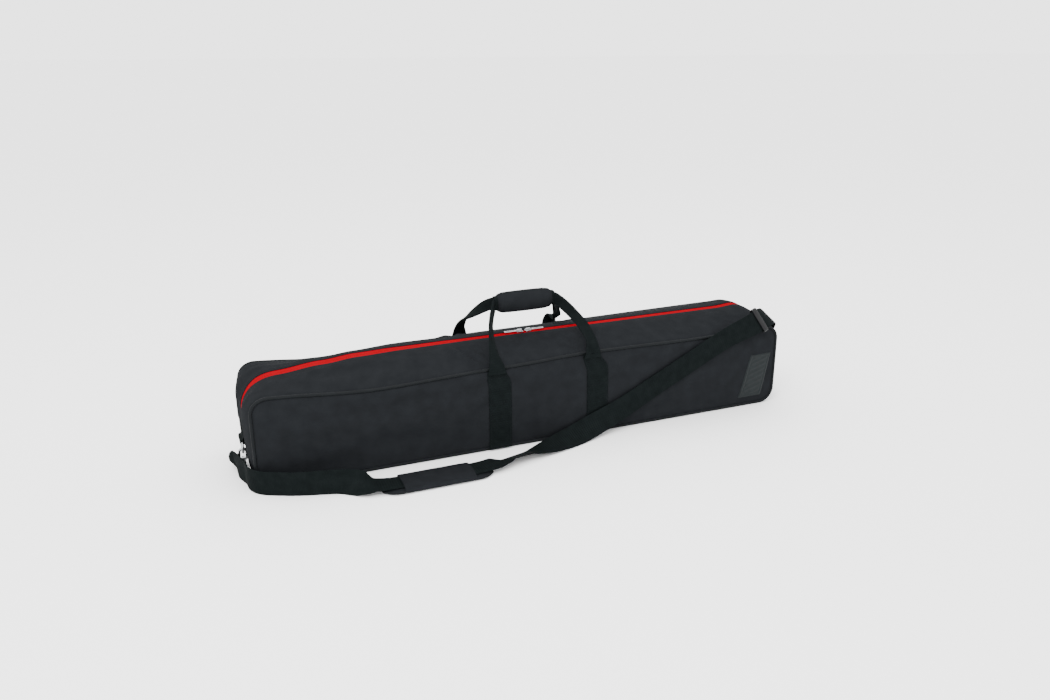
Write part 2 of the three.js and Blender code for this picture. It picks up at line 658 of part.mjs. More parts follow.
for (const [name, side] of [["left", -1], ["right", 1]]) {
  const turn = side < 0 ? Math.PI : 0;
  const patchX = END_X + GAP;
  const patch = add(`${name}_zip_end`,
    box(patchX, patchX + ZIP_END_THICKNESS, -ZIP_END_HALF, ZIP_END_HALF, TAB_TOP + 1, FOLD_Z - 1), TRIM);
  const tab = add(`${name}_ring_tab`, tabGeometry(), WEB);
  patch.rotation.z = turn;
  tab.rotation.z = turn;
  const ring = add(`${name}_ring`, tube(ringPoints(), RING_WIRE, 8, 48, true), METAL);
  ring.position.set(side * RING_X, 0, RING_Z);
  const hook = add(`${name}_hook`, hookGeometry(), METAL);
  const gate = add(`${name}_gate`, gateGeometry(), PLASTIC);
  const eye = add(`${name}_eye`, eyeGeometry(), PLASTIC);
  const loop = add(`${name}_strap_loop`, strapLoopGeometry(), WEB);
  for (const piece of [hook, gate]) {
    piece.position.set(side * RING_X, 0, 0);
    piece.rotation.z = turn;
  }
  for (const piece of [eye, loop]) {
    piece.position.set(side * RING_X, 0, 0);
  }
}

// ---- Shoulder strap, lying on the floor in front and over the front panel, and its pad ----
// Each knot is a point on the strap's middle and the direction across it.
const PAD_TOP = GAP + PAD_THICKNESS;
const ON_PAD = PAD_TOP + 4 * GAP + STRAP / 2;

const LEFT_RUN = [
  [[-601, 0, 5], [0, 1, 0]],
  [[-608, 0, 6], [0, 1, 0]],
  [[-610, -15, 14], [-0.1, 0.7, 0.6]],
  [[-606, -36, 21], [0, 0.2, 0.97]],
  [[-599, -64, 24.6], [0, 0, 1]],
  [[-594, -94, 24.6], [0, 0, 1]],
  [[-576, -121, 24.6], [0, 0, 1]],
  [[-541, -142, 24.6], [0, 0, 1]],
  [[-505, -156, 24.6], [0, 0, 1]],
  [[-440, -175, 24.6], [0, 0.1, 1]],
  [[-405, -186, 21], [0, 0.6, 0.8]],
  [[-378, -190, ON_PAD + 3], [0, 1, 0.1]],
  [[-345, -191, ON_PAD], [0, 1, 0]],
];
const PAD_RUN = [
  [[-258, -193, ON_PAD], [0, 1, 0]],
];
const RIGHT_RUN = [
  [[-170, -191, ON_PAD], [0, 1, 0]],
  [[-138, -187, ON_PAD + 1], [0, 1, 0]],
  [[-105, -179, 9], [0.15, 0.97, -0.12]],
  [[-60, -167, 8], [0.2, 0.95, -0.1]],
  [[0, -152, 10], [0.1, 0.97, 0.2]],
  [[60, -138, 17], [-0.1, 0.8, 0.6]],
  [[120, -127, 32], [-0.3, 0.35, 0.88]],
  [[186, -121, 56], [-0.42, 0.1, 0.9]],
  [[260, -117, 91], [-0.42, 0, 0.91]],
  [[350, -116, 134], [-0.42, 0, 0.91]],
  [[440, -116, 176], [-0.42, 0.04, 0.91]],
  [[500, -114, 197], [-0.4, 0.3, 0.85]],
  [[542, -99, 205], [-0.3, 0.65, 0.7]],
  [[571, -74, 197], [0, 0.95, 0.3]],
  [[591, -50, 176], [0.1, 1, 0.1]],
  [[600, -28, 130], [0, 1, 0]],
  [[612, -13, 84], [0, 1, 0]],
  [[618, -4, 40], [0, 1, 0]],
  [[617, -1, 12], [0, 1, 0]],
  [[610, 0, 3.5], [0, 1, 0]],
  [[601, 0, 5], [0, 1, 0]],
];

function strapKnots(run) {
  return run.map(([at, wide]) => ({ at, wide, width: STRAP_WIDTH, thick: STRAP }));
}

const STRAP_KNOTS = strapKnots([...LEFT_RUN, ...PAD_RUN, ...RIGHT_RUN]);
const STRAP_STEPS = 96;
add("shoulder_strap", ribbon(STRAP_KNOTS, STRAP_STEPS, GAP), WEB);

// Pad lying under the strap, with rounded ends, and the sleeve that keeps the strap on it
function padShape(length, width, radius) {
  const shape = new THREE.Shape();
  shape.absarc(length / 2 - radius, width / 2 - radius, radius, 0, Math.PI / 2, false);
  shape.absarc(-length / 2 + radius, width / 2 - radius, radius, Math.PI / 2, Math.PI, false);
  shape.absarc(-length / 2 + radius, -width / 2 + radius, radius, Math.PI, Math.PI * 1.5, false);
  shape.absarc(length / 2 - radius, -width / 2 + radius, radius, Math.PI * 1.5, Math.PI * 2, false);
  return shape;
}

const PAD_RADIUS = 14;
const padGeometry = new THREE.ExtrudeGeometry(padShape(PAD_LENGTH, PAD_WIDTH, PAD_RADIUS), {
  depth: PAD_THICKNESS, bevelEnabled: false, curveSegments: 6,
});
add("shoulder_pad", padGeometry, FABRIC).position.set(PAD_X, PAD_Y, GAP);
const SLEEVE_HALF = 70;
const SLEEVE_THICKNESS = 1.5;
const SLEEVE_Y = PAD_WIDTH / 2 - 1;
const SLEEVE_Z = ON_PAD + STRAP / 2 + 4 * GAP;
add("pad_sleeve", box(-SLEEVE_HALF, SLEEVE_HALF, -SLEEVE_Y, SLEEVE_Y, 0, SLEEVE_THICKNESS), FABRIC)
  .position.set(PAD_X, PAD_Y, SLEEVE_Z);

// Length adjuster: a flat frame that the strap passes through, near the upper right corner
const ADJUSTER_X = 500;
const ADJUSTER_LENGTH = 16;
const ADJUSTER_HALF = 5;
const ADJUSTER_SLOT = 3.6;
const ADJUSTER_CLEAR = STRAP_WIDTH / 2 + 2;
const ADJUSTER_OUTER = ADJUSTER_CLEAR + 3;
const adjusterKnot = STRAP_KNOTS.findIndex((knot) => knot.at[0] === ADJUSTER_X);
const adjuster = cut(
  box(-ADJUSTER_LENGTH / 2, ADJUSTER_LENGTH / 2, -ADJUSTER_OUTER, ADJUSTER_OUTER,
    -ADJUSTER_HALF, ADJUSTER_HALF),
  box(-ADJUSTER_LENGTH, ADJUSTER_LENGTH, -ADJUSTER_CLEAR, ADJUSTER_CLEAR, -ADJUSTER_SLOT, ADJUSTER_SLOT),
);
const held = ribbonFrame(STRAP_KNOTS, (adjusterKnot + 0.5) / (STRAP_KNOTS.length - 1), GAP);
const placed = add("strap_adjuster", adjuster, PLASTIC);
placed.position.copy(held.centre);
placed.setRotationFromMatrix(new THREE.Matrix4().makeBasis(held.along, held.across, held.normal));

// ---- Slanted rubber patch on the front panel ----
const PATCH_THICKNESS = 1.4;
const patchShape = new THREE.Shape();
patchShape.moveTo(478, 22);
patchShape.lineTo(539, 22);
patchShape.lineTo(558, 124);
patchShape.lineTo(504, 124);
add("rubber_patch", plate(patchShape, -WEB_FACE - PATCH_THICKNESS, -WEB_FACE), RUBBER);

export default part;
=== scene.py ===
"""Long padded carry case for a telescope tube, dressed over its CAD frame. Sizes are in millimetres."""
import math

import bmesh
import bpy
import numpy as np
from mathutils import Matrix, Quaternion, Vector


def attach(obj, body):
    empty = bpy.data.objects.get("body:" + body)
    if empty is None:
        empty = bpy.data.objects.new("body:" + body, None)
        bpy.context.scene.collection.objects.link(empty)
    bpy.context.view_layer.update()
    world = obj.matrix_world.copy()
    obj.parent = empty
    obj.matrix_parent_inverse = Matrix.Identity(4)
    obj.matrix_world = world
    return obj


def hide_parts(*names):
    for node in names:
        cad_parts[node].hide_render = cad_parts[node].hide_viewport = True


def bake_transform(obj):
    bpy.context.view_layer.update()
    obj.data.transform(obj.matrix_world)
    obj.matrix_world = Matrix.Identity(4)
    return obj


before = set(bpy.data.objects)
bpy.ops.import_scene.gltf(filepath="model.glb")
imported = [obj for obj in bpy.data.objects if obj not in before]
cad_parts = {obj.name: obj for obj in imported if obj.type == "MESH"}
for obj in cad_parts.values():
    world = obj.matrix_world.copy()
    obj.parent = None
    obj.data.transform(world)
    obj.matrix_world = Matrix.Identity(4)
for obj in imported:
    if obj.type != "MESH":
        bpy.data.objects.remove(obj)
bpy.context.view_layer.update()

MM = 0.001

# Case body, as in the CAD frame
HALF = 575.0
DEPTH = 216.0
HEIGHT = 190.0
CREST = 21.0
END_BULGE = 13.0
PANEL_RADIUS = 35.0
CREST_RADIUS = 75.0
FOLD_Z = 92.0
PIPING = 3.2
PIPING_INSET = 3.5
PIPING_Y = DEPTH / 2 - 3.5
GUSSET_EDGE = DEPTH / 2 - 7.3
TAPE = 15.3
WEBBING_WIDTH = 48.0
WEBBING_X = 109.0
FRONT_SHIFT = 12.0
FOOT_SHIFT = {("front", -1): 6.0, ("front", 1): -2.0, ("rear", -1): 0.0, ("rear", 1): 0.0}
GRIP_HALF = 61.0
GRIP_Z = 280.0
BAND_Y = 4.1
RING_X = HALF + END_BULGE + 6.5
RING_Z = 66.0
SLIDER_Z = HEIGHT + CREST + 0.3
STRAP_WIDTH = 48.0
STRAP = 2.2
PAD = (-258.0, -192.0)
PAD_TOP = 8.3
ON_PAD = PAD_TOP + 1.2 + STRAP / 2

# Places of a bend of the front over the 36 mm above the lid's fold line, and of the strap on it only near the
# top seam; nothing here bends the pieces
FOLD_Y = -0.111
FOLDING = ("case", "lid", (0, FOLD_Y, FOLD_Z * MM), (0, FOLD_Y, (FOLD_Z + 36) * MM))
STRAP_FOLDING = ("case", "lid", (0, FOLD_Y, 0.145), (0, FOLD_Y, 0.19))

# The two halves of the case with their side in Y and what they ride on, and the two ends with their side in X
SIDE = {"front": -1, "rear": 1}
HALVES = (("front", -1, FOLDING), ("rear", 1, "case"))
ENDS = (("left", -1), ("right", 1))


# ---- Camera, floor and light ----
def make_camera():
    yaw, pitch, roll = (math.radians(a) for a in (21.9, 18.9, -0.4))
    forward = Vector((math.sin(yaw) * math.cos(pitch), math.cos(yaw) * math.cos(pitch), -math.sin(pitch)))
    data = bpy.data.cameras.new("camera")
    data.sensor_width = 36
    data.lens = 30.86
    data.clip_start = 0.05
    data.clip_end = 50
    camera = bpy.data.objects.new("camera", data)
    camera.rotation_mode = "QUATERNION"
    camera.rotation_quaternion = forward.to_track_quat("-Z", "Y") @ Quaternion((0, 0, 1), roll)
    camera.location = (-0.679, -1.695, 0.794)
    bpy.context.scene.collection.objects.link(camera)
    bpy.context.scene.camera = camera


def make_light(name, place, aim, size, watts):
    data = bpy.data.lights.new(name, "AREA")
    data.shape = "DISK"
    data.size = size
    data.energy = watts
    light = bpy.data.objects.new(name, data)
    light.location = place
    light.rotation_mode = "QUATERNION"
    light.rotation_quaternion = (Vector(aim) - Vector(place)).to_track_quat("-Z", "Y")
    bpy.context.scene.collection.objects.link(light)


def make_stage():
    world = bpy.data.worlds.new("studio")
    world.use_nodes = True
    world.node_tree.nodes["Background"].inputs["Color"].default_value = (1, 1, 1, 1)
    world.node_tree.nodes["Background"].inputs["Strength"].default_value = 3.0
    bpy.context.scene.world = world
    make_light("key", (-1.2, -1.8, 2.6), (0, 0, 0.1), 1.6, 80)
    make_light("top", (0.6, 0.8, 2.8), (0, 0, 0.1), 2.2, 25)
    side = 60.0
    mesh = bpy.data.meshes.new("floor")
    corners = [(-side, -side, 0), (side, -side, 0), (side, side, 0), (-side, side, 0)]
    mesh.from_pydata(corners, [], [(0, 1, 2, 3)])
    floor = bpy.data.objects.new("floor", mesh)
    bpy.context.scene.collection.objects.link(floor)
    material = bpy.data.materials.new("pale_floor")
    material.use_nodes = True
    shader = material.node_tree.nodes["Principled BSDF"]
    shader.inputs["Base Color"].default_value = (0.96, 0.96, 0.96, 1)
    shader.inputs["Roughness"].default_value = 0.9
    mesh.materials.append(material)


make_camera()
make_stage()


# ---- Materials ----
class Shader:
    """A Principled material with short helpers for its node tree."""

    def __init__(self, name, colour, roughness, **sockets):
        self.material = bpy.data.materials.new(name)
        self.material.use_nodes = True
        self.tree = self.material.node_tree
        self.main = self.tree.nodes["Principled BSDF"]
        for socket, value in dict(sockets, Base_Color=(*colour, 1), Roughness=roughness).items():
            self.main.inputs[socket.replace("_", " ")].default_value = value

    def node(self, kind, links=(), **values):
        """A node with its own settings and the values of its inputs, and with sources linked to it."""
        made = self.tree.nodes.new(kind)
        for key, value in values.items():
            if hasattr(made, key):
                setattr(made, key, value)
            else:
                made.inputs[key].default_value = value
        for socket, source in dict(links).items():
            self.tree.links.new(source, made.inputs[socket])
        return made

    def place(self, kind):
        return self.node("ShaderNodeTexCoord").outputs[kind]

    def wave(self, vector, direction, pitch):
        """Threads of the given pitch in mm, side by side in one direction."""
        scale = 1 / (pitch * MM) / 10
        made = self.node("ShaderNodeTexWave", {"Vector": vector}, bands_direction=direction, Scale=scale)
        return made.outputs["Fac"]

    def noise(self, vector, scale, detail=2.0):
        return self.node("ShaderNodeTexNoise", {"Vector": vector}, Scale=scale, Detail=detail).outputs["Fac"]

    def math(self, operation, a, b):
        made = self.node("ShaderNodeMath", operation=operation)
        for socket, value in enumerate((a, b)):
            if isinstance(value, (int, float)):
                made.inputs[socket].default_value = value
            else:
                self.tree.links.new(value, made.inputs[socket])
        return made.outputs[0]

    def use(self, socket, source):
        self.tree.links.new(source, self.main.inputs[socket])

    def mottle(self, fac, colour, darker, lighter):
        """Lets the colour drift between a darker and a lighter shade."""
        made = self.node("ShaderNodeValToRGB", {"Fac": fac})
        for end, position, shade in zip(made.color_ramp.elements, (0.3, 0.7), (darker, lighter)):
            end.position = position
            end.color = (*(min(1.0, c * shade) for c in colour), 1)
        self.use("Base Color", made.outputs["Color"])

    def bump(self, height, strength, distance):
        made = self.node("ShaderNodeBump", {"Height": height}, Strength=strength, Distance=distance)
        self.use("Normal", made.outputs["Normal"])


def woven(name, colour, roughness, pitch, strength=0.35, sheen=0.001, mottle=0.12, gloss=0.005):
    """Plain weave of the given thread pitch in mm, on UVs in metres."""
    made = Shader(name, colour, roughness, Sheen_Weight=sheen, Specular_IOR_Level=gloss)
    vector = made.place("UV")
    threads = made.math("MULTIPLY", made.wave(vector, "X", pitch), made.wave(vector, "Y", pitch))
    cloudy = made.noise(vector, 38, 4)
    made.bump(made.math("ADD", threads, made.math("MULTIPLY", cloudy, 0.6)), strength, pitch * MM * 0.5)
    made.mottle(cloudy, colour, 1 - mottle, 1 + mottle)
    return made.material


def ribbed(name, colour, roughness, rib_pitch=1.6, thread_pitch=0.9):
    """Webbing: fine ribs across the band and threads along it."""
    made = Shader(name, colour, roughness, Sheen_Weight=0.001, Specular_IOR_Level=0.005)
    vector = made.place("UV")
    ribs = made.math("MULTIPLY", made.wave(vector, "X", rib_pitch), 0.7)
    threads = made.math("MULTIPLY", made.wave(vector, "Y", thread_pitch), 0.5)
    made.bump(made.math("ADD", ribs, threads), 0.6, 0.0006)
    made.mottle(made.noise(vector, 60, 3), colour, 0.86, 1.16)
    return made.material


def cast_metal(name, colour, roughness):
    made = Shader(name, colour, roughness, Metallic=1.0)
    place = made.place("Object")
    made.bump(made.noise(place, 900, 3), 0.12, 0.0002)
    worn = made.math("MULTIPLY", made.noise(place, 160), 0.2)
    made.use("Roughness", made.math("ADD", worn, roughness - 0.1))
    return made.material


def moulded(name, colour, roughness, grain=1400):
    made = Shader(name, colour, roughness, Specular_IOR_Level=0.15)
    place = made.place("Object")
    made.bump(made.noise(place, grain), 0.25, 0.0002)
    made.mottle(made.noise(place, 90), colour, 0.85, 1.2)
    return made.material


NYLON = woven("nylon_600d", (0.0088, 0.0096, 0.0108), 0.75, 0.62)
LINING = woven("lining_cloth", (0.045, 0.048, 0.053), 0.75, 0.4, mottle=0.06)
BINDING = woven("binding_tape", (0.0066, 0.0075, 0.0082), 0.6, 0.5, strength=0.25, gloss=0.04)
WEB = ribbed("webbing", (0.0045, 0.0059, 0.0060), 0.65)
RED = woven("red_zip_tape", (0.2, 0.0002, 0.0045), 0.75, 0.7, sheen=0.0, mottle=0.05, gloss=0.0)
THREAD = woven("sewing_thread", (0.0090, 0.0100, 0.0112), 0.6, 0.3, strength=0.2)
FOAM = moulded("closed_cell_foam", (0.10, 0.105, 0.11), 0.95, grain=500)
BOARD = moulded("base_board_plastic", (0.03, 0.03, 0.033), 0.6)
PLASTIC = moulded("black_plastic", (0.0032, 0.0035, 0.0040), 0.5)
RUBBER = moulded("patch_rubber", (0.0030, 0.0050, 0.0056), 0.6)
METAL = cast_metal("nickel_plate", (0.36, 0.37, 0.38), 0.3)


# ---- Mesh helpers ----
def smooth(value, low, high):
    t = np.clip((np.asarray(value, float) - low) / (high - low), 0, 1)
    return t * t * (3 - 2 * t)


def ridge(value, centre, width):
    return np.exp(-(((value - centre) / width) ** 2))


def xyz(x, y, z):
    """Points from coordinates that broadcast together."""
    return np.stack(np.broadcast_arrays(x, y, z), axis=-1)


def unit(vectors):
    return vectors / np.linalg.norm(vectors, axis=-1, keepdims=True)


def full_turn(count):
    return np.linspace(0, 2 * math.pi, count, endpoint=False)


def lengths(points):
    """Distance along each row of an (n, m, 3) grid, averaged over its columns."""
    steps = np.linalg.norm(np.diff(points, axis=0), axis=2).mean(axis=1)
    return np.concatenate([[0], np.cumsum(steps)])


def rim_of(grid):
    """The outer loop of a grid's points."""
    return np.concatenate([grid[:, 0], grid[-1, 1:], grid[-2::-1, -1], grid[0, -2:0:-1]])


def uv_grid(along, across):
    """UVs of a grid from its distances in metres along and across."""
    return np.stack(np.meshgrid(along, across, indexing="ij"), axis=-1).reshape(-1, 2)


def outwards(vertices, faces):
    """The faces of a closed shape, turned round if they look inwards."""
    total = 0.0
    for face in faces:
        a = vertices[face[0]]
        for i in range(1, len(face) - 1):
            total += np.dot(a, np.cross(vertices[face[i]], vertices[face[i + 1]]))
    return [face[::-1] for face in faces] if total < 0 else faces


def slab(outer, inner):
    """A closed sheet between two (n, m, 3) grids of points in mm, with UVs in metres along and across."""
    count = outer.shape[0] * outer.shape[1]
    vertices = np.concatenate([outer.reshape(-1, 3), inner.reshape(-1, 3)])
    at = np.arange(count).reshape(outer.shape[:2])
    quads = np.stack([at[:-1, :-1], at[1:, :-1], at[1:, 1:], at[:-1, 1:]], axis=-1).reshape(-1, 4)
    rim = rim_of(at)
    following = np.roll(rim, -1)
    sides = np.stack([following, rim, rim + count, following + count], axis=-1)
    faces = quads.tolist() + (quads[:, ::-1] + count).tolist() + sides.tolist()
    uv = uv_grid(lengths(outer) * MM, lengths(outer.transpose(1, 0, 2)) * MM)
    return vertices, outwards(vertices, faces), np.concatenate([uv, uv])


def sweep(path, section, closed=False):
    """A tube of the given 2D section along points in mm."""
    tangent = np.gradient(path, axis=0)
    if closed:
        tangent = np.roll(path, -1, axis=0) - np.roll(path, 1, axis=0)
    tangent = unit(tangent)
    off_the_path = (0.31, 0.2, 0.93)
    up = np.cross(tangent[0], off_the_path)
    side = []
    for t in tangent:
        up = unit(up - np.dot(up, t) * t)
        side.append(up)
    side = np.array(side)
    other = np.cross(tangent, side)
    rings = path[:, None] + side[:, None] * section[:, :1] + other[:, None] * section[:, 1:]
    return tube_shape(rings, closed)


def tube_shape(rings, closed=False):
    """A closed tube through (n, m, 3) rings of points, with flat ends unless it is a loop."""
    n, m = rings.shape[:2]
    at = np.arange(n * m).reshape(n, m)
    if closed:
        at = np.concatenate([at, at[:1]])
    nxt = np.roll(at, -1, axis=1)
    faces = np.stack([at[:-1], nxt[:-1], nxt[1:], at[1:]], axis=-1).reshape(-1, 4).tolist()
    if not closed:
        faces += [at[0][::-1].tolist(), at[-1].tolist()]
    vertices = rings.reshape(-1, 3)
    radius = np.linalg.norm(rings[0, 0] - rings[0].mean(axis=0))
    around = np.linspace(0, 1, m, endpoint=False) * radius * 6 * MM
    return vertices, outwards(vertices, faces), uv_grid(lengths(rings) * MM, around)


def circle(radius, sides):
    angle = full_turn(sides)
    return np.stack([radius * np.cos(angle), radius * np.sin(angle)], axis=-1)


def arc(x, z, radius, start, end, count):
    """Points of a circular arc, with its angles in degrees."""
    angle = np.radians(np.linspace(start, end, count))
    return [(x + radius * math.cos(a), z + radius * math.sin(a)) for a in angle]


def bar_loop(x0, x1, w0, w1, r, count=5):
    """Outline of a bar with round corners, w0 wide at x0 and w1 wide at x1."""
    corners = ((x1 - r, w1 / 2 - r), (x0 + r, w0 / 2 - r), (x0 + r, r - w0 / 2), (x1 - r, r - w1 / 2))
    return [point for k, (x, z) in enumerate(corners) for point in arc(x, z, r, 90 * k, 90 * k + 90, count)]


def rounded(x0, x1, width, r):
    return bar_loop(x0, x1, width, width, r, 6)


def curve_through(knots, per_knot, closed=False):
    """Centripetal Catmull-Rom curve through the knots, with per_knot steps between two of them."""
    p = np.asarray(knots, float)
    if closed:
        p = np.concatenate([p[-1:], p, p[:2]])
    else:
        p = np.concatenate([[2 * p[0] - p[1]], p, [2 * p[-1] - p[-2]]])
    t = np.linspace(0, 1, per_knot, endpoint=False)[:, None]
    rows = []
    for a, b, c, d in zip(p, p[1:], p[2:], p[3:]):
        before, between, after = (np.linalg.norm(q - r) ** 0.5 for q, r in ((b, a), (c, b), (d, c)))
        leave = between * ((b - a) / before - (c - a) / (before + between) + (c - b) / between)
        arrive = between * ((c - b) / between - (d - b) / (between + after) + (d - c) / after)
        rows.append(b + leave * t + (3 * (c - b) - 2 * leave - arrive) * t**2
                    + (2 * (b - c) + leave + arrive) * t**3)
    if not closed:
        rows.append(p[-2:-1])
    return np.concatenate(rows)


def even(points, pitch, values=None):
    """The same line as points about one pitch apart, or what its values are at those points."""
    travelled = np.concatenate([[0], np.cumsum(np.linalg.norm(np.diff(points, axis=0), axis=1))])
    places = np.linspace(0, travelled[-1], max(2, int(travelled[-1] / pitch)))
    values = points if values is None else values
    return np.stack([np.interp(places, travelled, values[:, k]) for k in range(3)], axis=-1)


def make(name, shapes, material, body, *stands_for, slot=None, crease=50):
    """One piece from shapes, each the vertices in mm, the faces and the UVs in metres.

    The body is a name, which the piece is attached to, or two names and the places where a bend starts and
    ends; such a piece is only fixed in place, and nothing bends it."""
    vertices, faces, uv = [], [], []
    start = 0
    for points, polygons, places in shapes:
        vertices.append(points)
        faces += [[start + i for i in polygon] for polygon in polygons]
        uv.append(places)
        start += len(points)
    mesh = bpy.data.meshes.new(name)
    mesh.from_pydata((np.concatenate(vertices) * MM).tolist(), [], faces)
    mesh.materials.append(material)
    layer = mesh.uv_layers.new(name="UVMap")
    index = np.empty(len(mesh.loops), int)
    mesh.loops.foreach_get("vertex_index", index)
    layer.data.foreach_set("uv", np.concatenate(uv)[index].astype(np.float32).ravel())
    mesh.shade_smooth()
    mesh.set_sharp_from_angle(angle=math.radians(crease))
    piece = bpy.data.objects.new(name, mesh)
    bpy.context.scene.collection.objects.link(piece)
    if isinstance(body, str):
        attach(piece, body)
    else:
        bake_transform(piece)
    if stands_for:
        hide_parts(*stands_for)
    return piece


def shift(x, y, z):
    return Matrix.Translation((x, y, z))


def facing(sign):
    """Turn about Z that takes a piece made for the right end to either end."""
    return Matrix.Rotation(math.pi if sign < 0 else 0, 4, "Z")


UPRIGHT = Matrix.Rotation(math.pi / 2, 4, "X")


def cast(loops, thickness, bevel, place):
    """A plate with rounded edges and holes from closed 2D loops in mm, put where the matrix says."""
    data = bpy.data.curves.new("outline", "CURVE")
    data.dimensions = "2D"
    data.fill_mode = "BOTH"
    data.extrude = thickness / 2 - bevel
    data.bevel_depth = bevel
    data.bevel_resolution = 2
    data.offset = -bevel
    for loop in loops:
        spline = data.splines.new("POLY")
        spline.points.add(len(loop) - 1)
        spline.points.foreach_set("co", np.array([(u, v, 0, 1) for u, v in loop]).ravel())
        spline.use_cyclic_u = True
    flat = bpy.data.objects.new("outline", data)
    bpy.context.scene.collection.objects.link(flat)
    mesh = bpy.data.meshes.new_from_object(flat.evaluated_get(bpy.context.evaluated_depsgraph_get()))
    work = bmesh.new()
    work.from_mesh(mesh)
    bmesh.ops.remove_doubles(work, verts=work.verts, dist=1e-3)
    bmesh.ops.recalc_face_normals(work, faces=work.faces)
    vertices = np.array([place @ v.co for v in work.verts])
    faces = [[v.index for v in f.verts] for f in work.faces]
    uv = np.array([(v.co.x * MM, v.co.y * MM) for v in work.verts])
    work.free()
    bpy.data.objects.remove(flat)
    bpy.data.curves.remove(data)
    bpy.data.meshes.remove(mesh)
    return vertices, outwards(vertices, faces), uv


# ---- The shoulder strap comes first: its route lies on the floor and over the front ----
# Each knot is a point on the strap's middle and the direction across it, as in the CAD frame.
STRAP_KNOTS = [
    ((-601, 0, 5), (0, 1, 0)),
    ((-608, 0, 6), (0, 1, 0)),
    ((-610, -15, 14), (-0.1, 0.7, 0.6)),
    ((-606, -36, 21), (0, 0.2, 0.97)),
    ((-599, -64, 24.6), (0, 0, 1)),
    ((-594, -94, 24.6), (0, 0, 1)),
    ((-576, -121, 24.6), (0, 0, 1)),
    ((-541, -142, 24.6), (0, 0, 1)),
    ((-505, -156, 24.6), (0, 0, 1)),
    ((-440, -175, 24.6), (0, 0.1, 1)),
    ((-405, -186, 21), (0, 0.6, 0.8)),
    ((-378, -190, ON_PAD + 3), (0, 1, 0.1)),
    ((-345, -191, ON_PAD), (0, 1, 0)),
    ((-258, -193, ON_PAD), (0, 1, 0)),
    ((-170, -191, ON_PAD), (0, 1, 0)),
    ((-138, -187, ON_PAD + 1), (0, 1, 0)),
    ((-105, -179, 9), (0.1, 0.94, -0.42)),
    ((-60, -167, 8), (0.05, 0.95, -0.36)),
    ((0, -152, 10), (0.1, 0.97, 0.2)),
    ((60, -138, 17), (-0.1, 0.8, 0.6)),
    ((120, -127, 32), (-0.3, 0.35, 0.88)),
    ((186, -121, 56), (-0.42, 0.1, 0.9)),
    ((260, -117, 91), (-0.42, 0, 0.91)),
    ((350, -116, 134), (-0.42, 0, 0.91)),
    ((440, -116, 176), (-0.42, 0.04, 0.91)),
    ((500, -114, 197), (-0.4, 0.3, 0.85)),
    ((542, -99, 205), (-0.3, 0.65, 0.7)),
    ((571, -74, 197), (0, 0.95, 0.3)),
    ((591, -50, 176), (0.1, 1, 0.1)),
    ((600, -28, 130), (0, 1, 0)),
    ((612, -13, 84), (0, 1, 0)),
    ((618, -4, 40), (0, 1, 0)),
    ((617, -1, 12), (0, 1, 0)),
    ((610, 0, 3.5), (0, 1, 0)),
    ((601, 0, 5), (0, 1, 0)),
]
STRAP_STEPS = 10
LEFT_END = 5
RIGHT_END = 29
ADJUSTER_KNOT = 25.5


def ribbon_frames(knots, per_knot, floor=None):
    """Middle, along, across, normal, width, thickness and fold depth of a ribbon, at even steps per knot.

    A knot is (point, across, width, thickness, fold depth)."""
    middle = curve_through([k[0] for k in knots], per_knot)
    along = unit(np.gradient(middle, axis=0))
    steps = np.arange(len(middle)) / per_knot
    ids = np.arange(len(knots))
    wide = np.stack([np.interp(steps, ids, [k[1][a] for k in knots]) for a in range(3)], axis=-1)
    wide -= (wide * along).sum(axis=1)[:, None] * along
    wide = unit(wide)
    normal = np.cross(along, wide)
    width, thick, depth = (np.interp(steps, ids, [k[i] for k in knots]) for i in (2, 3, 4))
    if floor is not None:
        lowest = middle[:, 2] - (np.abs(wide[:, 2]) * width + np.abs(normal[:, 2]) * thick) / 2
        middle[:, 2] += np.maximum(0, floor - lowest)
    return middle, along, wide, normal, width, thick, depth


EDGE = np.array([-1, -0.97, -0.88, -0.66, -0.33, 0, 0.33, 0.66, 0.88, 0.97, 1])


def ribbon(frames):
    """A woven band with soft edges, from its frames."""
    middle, _, wide, normal, width, thick, depth = frames
    half = np.sqrt(1 - 0.75 * np.abs(EDGE) ** 12)
    across = wide[:, None] * (width[:, None] / 2 * EDGE)[..., None]
    dip = depth[:, None] * (1 - np.abs(EDGE)) - depth[:, None] / 2
    outer = middle[:, None] + across + normal[:, None] * (dip + thick[:, None] / 2 * half)[..., None]
    inner = middle[:, None] + across + normal[:, None] * (dip - thick[:, None] / 2 * half)[..., None]
    return slab(outer, inner)


def part_of(frames, start, end):
    """The frames of one stretch of a ribbon."""
    return [values[start:end] for values in frames]


def make_strap():
    knots = [(at, wide, STRAP_WIDTH, STRAP, 0) for at, wide in STRAP_KNOTS]
    frames = ribbon_frames(knots, STRAP_STEPS, floor=0.3)
    middle, _, wide, normal = frames[:4]
    steps = np.arange(len(middle)) / STRAP_STEPS
    ripple = 1.3 * np.sin(steps * 1.9) * np.sin(steps * 0.7 + 1) * (np.abs(wide[:, 2]) > 0.5)
    middle += normal * ripple[:, None]
    first, last = LEFT_END * STRAP_STEPS, RIGHT_END * STRAP_STEPS
    strap = make("shoulder_strap_web", [ribbon(part_of(frames, first, last + 1))], WEB, STRAP_FOLDING,
                 "shoulder_strap")
    ends = []
    for name, start, end, bend in (
        ("left", 0, first + 1, ((-0.6, -0.09, 0.02), (-0.612, -0.02, 0.012))),
        ("right", last, len(middle), ((0.605, 0, 0.125), (0.615, 0, 0.03))),
    ):
        ends.append(make(f"{name}_strap_end", [ribbon(part_of(frames, start, end))], WEB,
                         ("case", f"{name}_ring_group", *bend)))
    return strap, ends, frames, middle[first:last + 1] * MM


strap, strap_ends, strap_frames, cord_middle = make_strap()


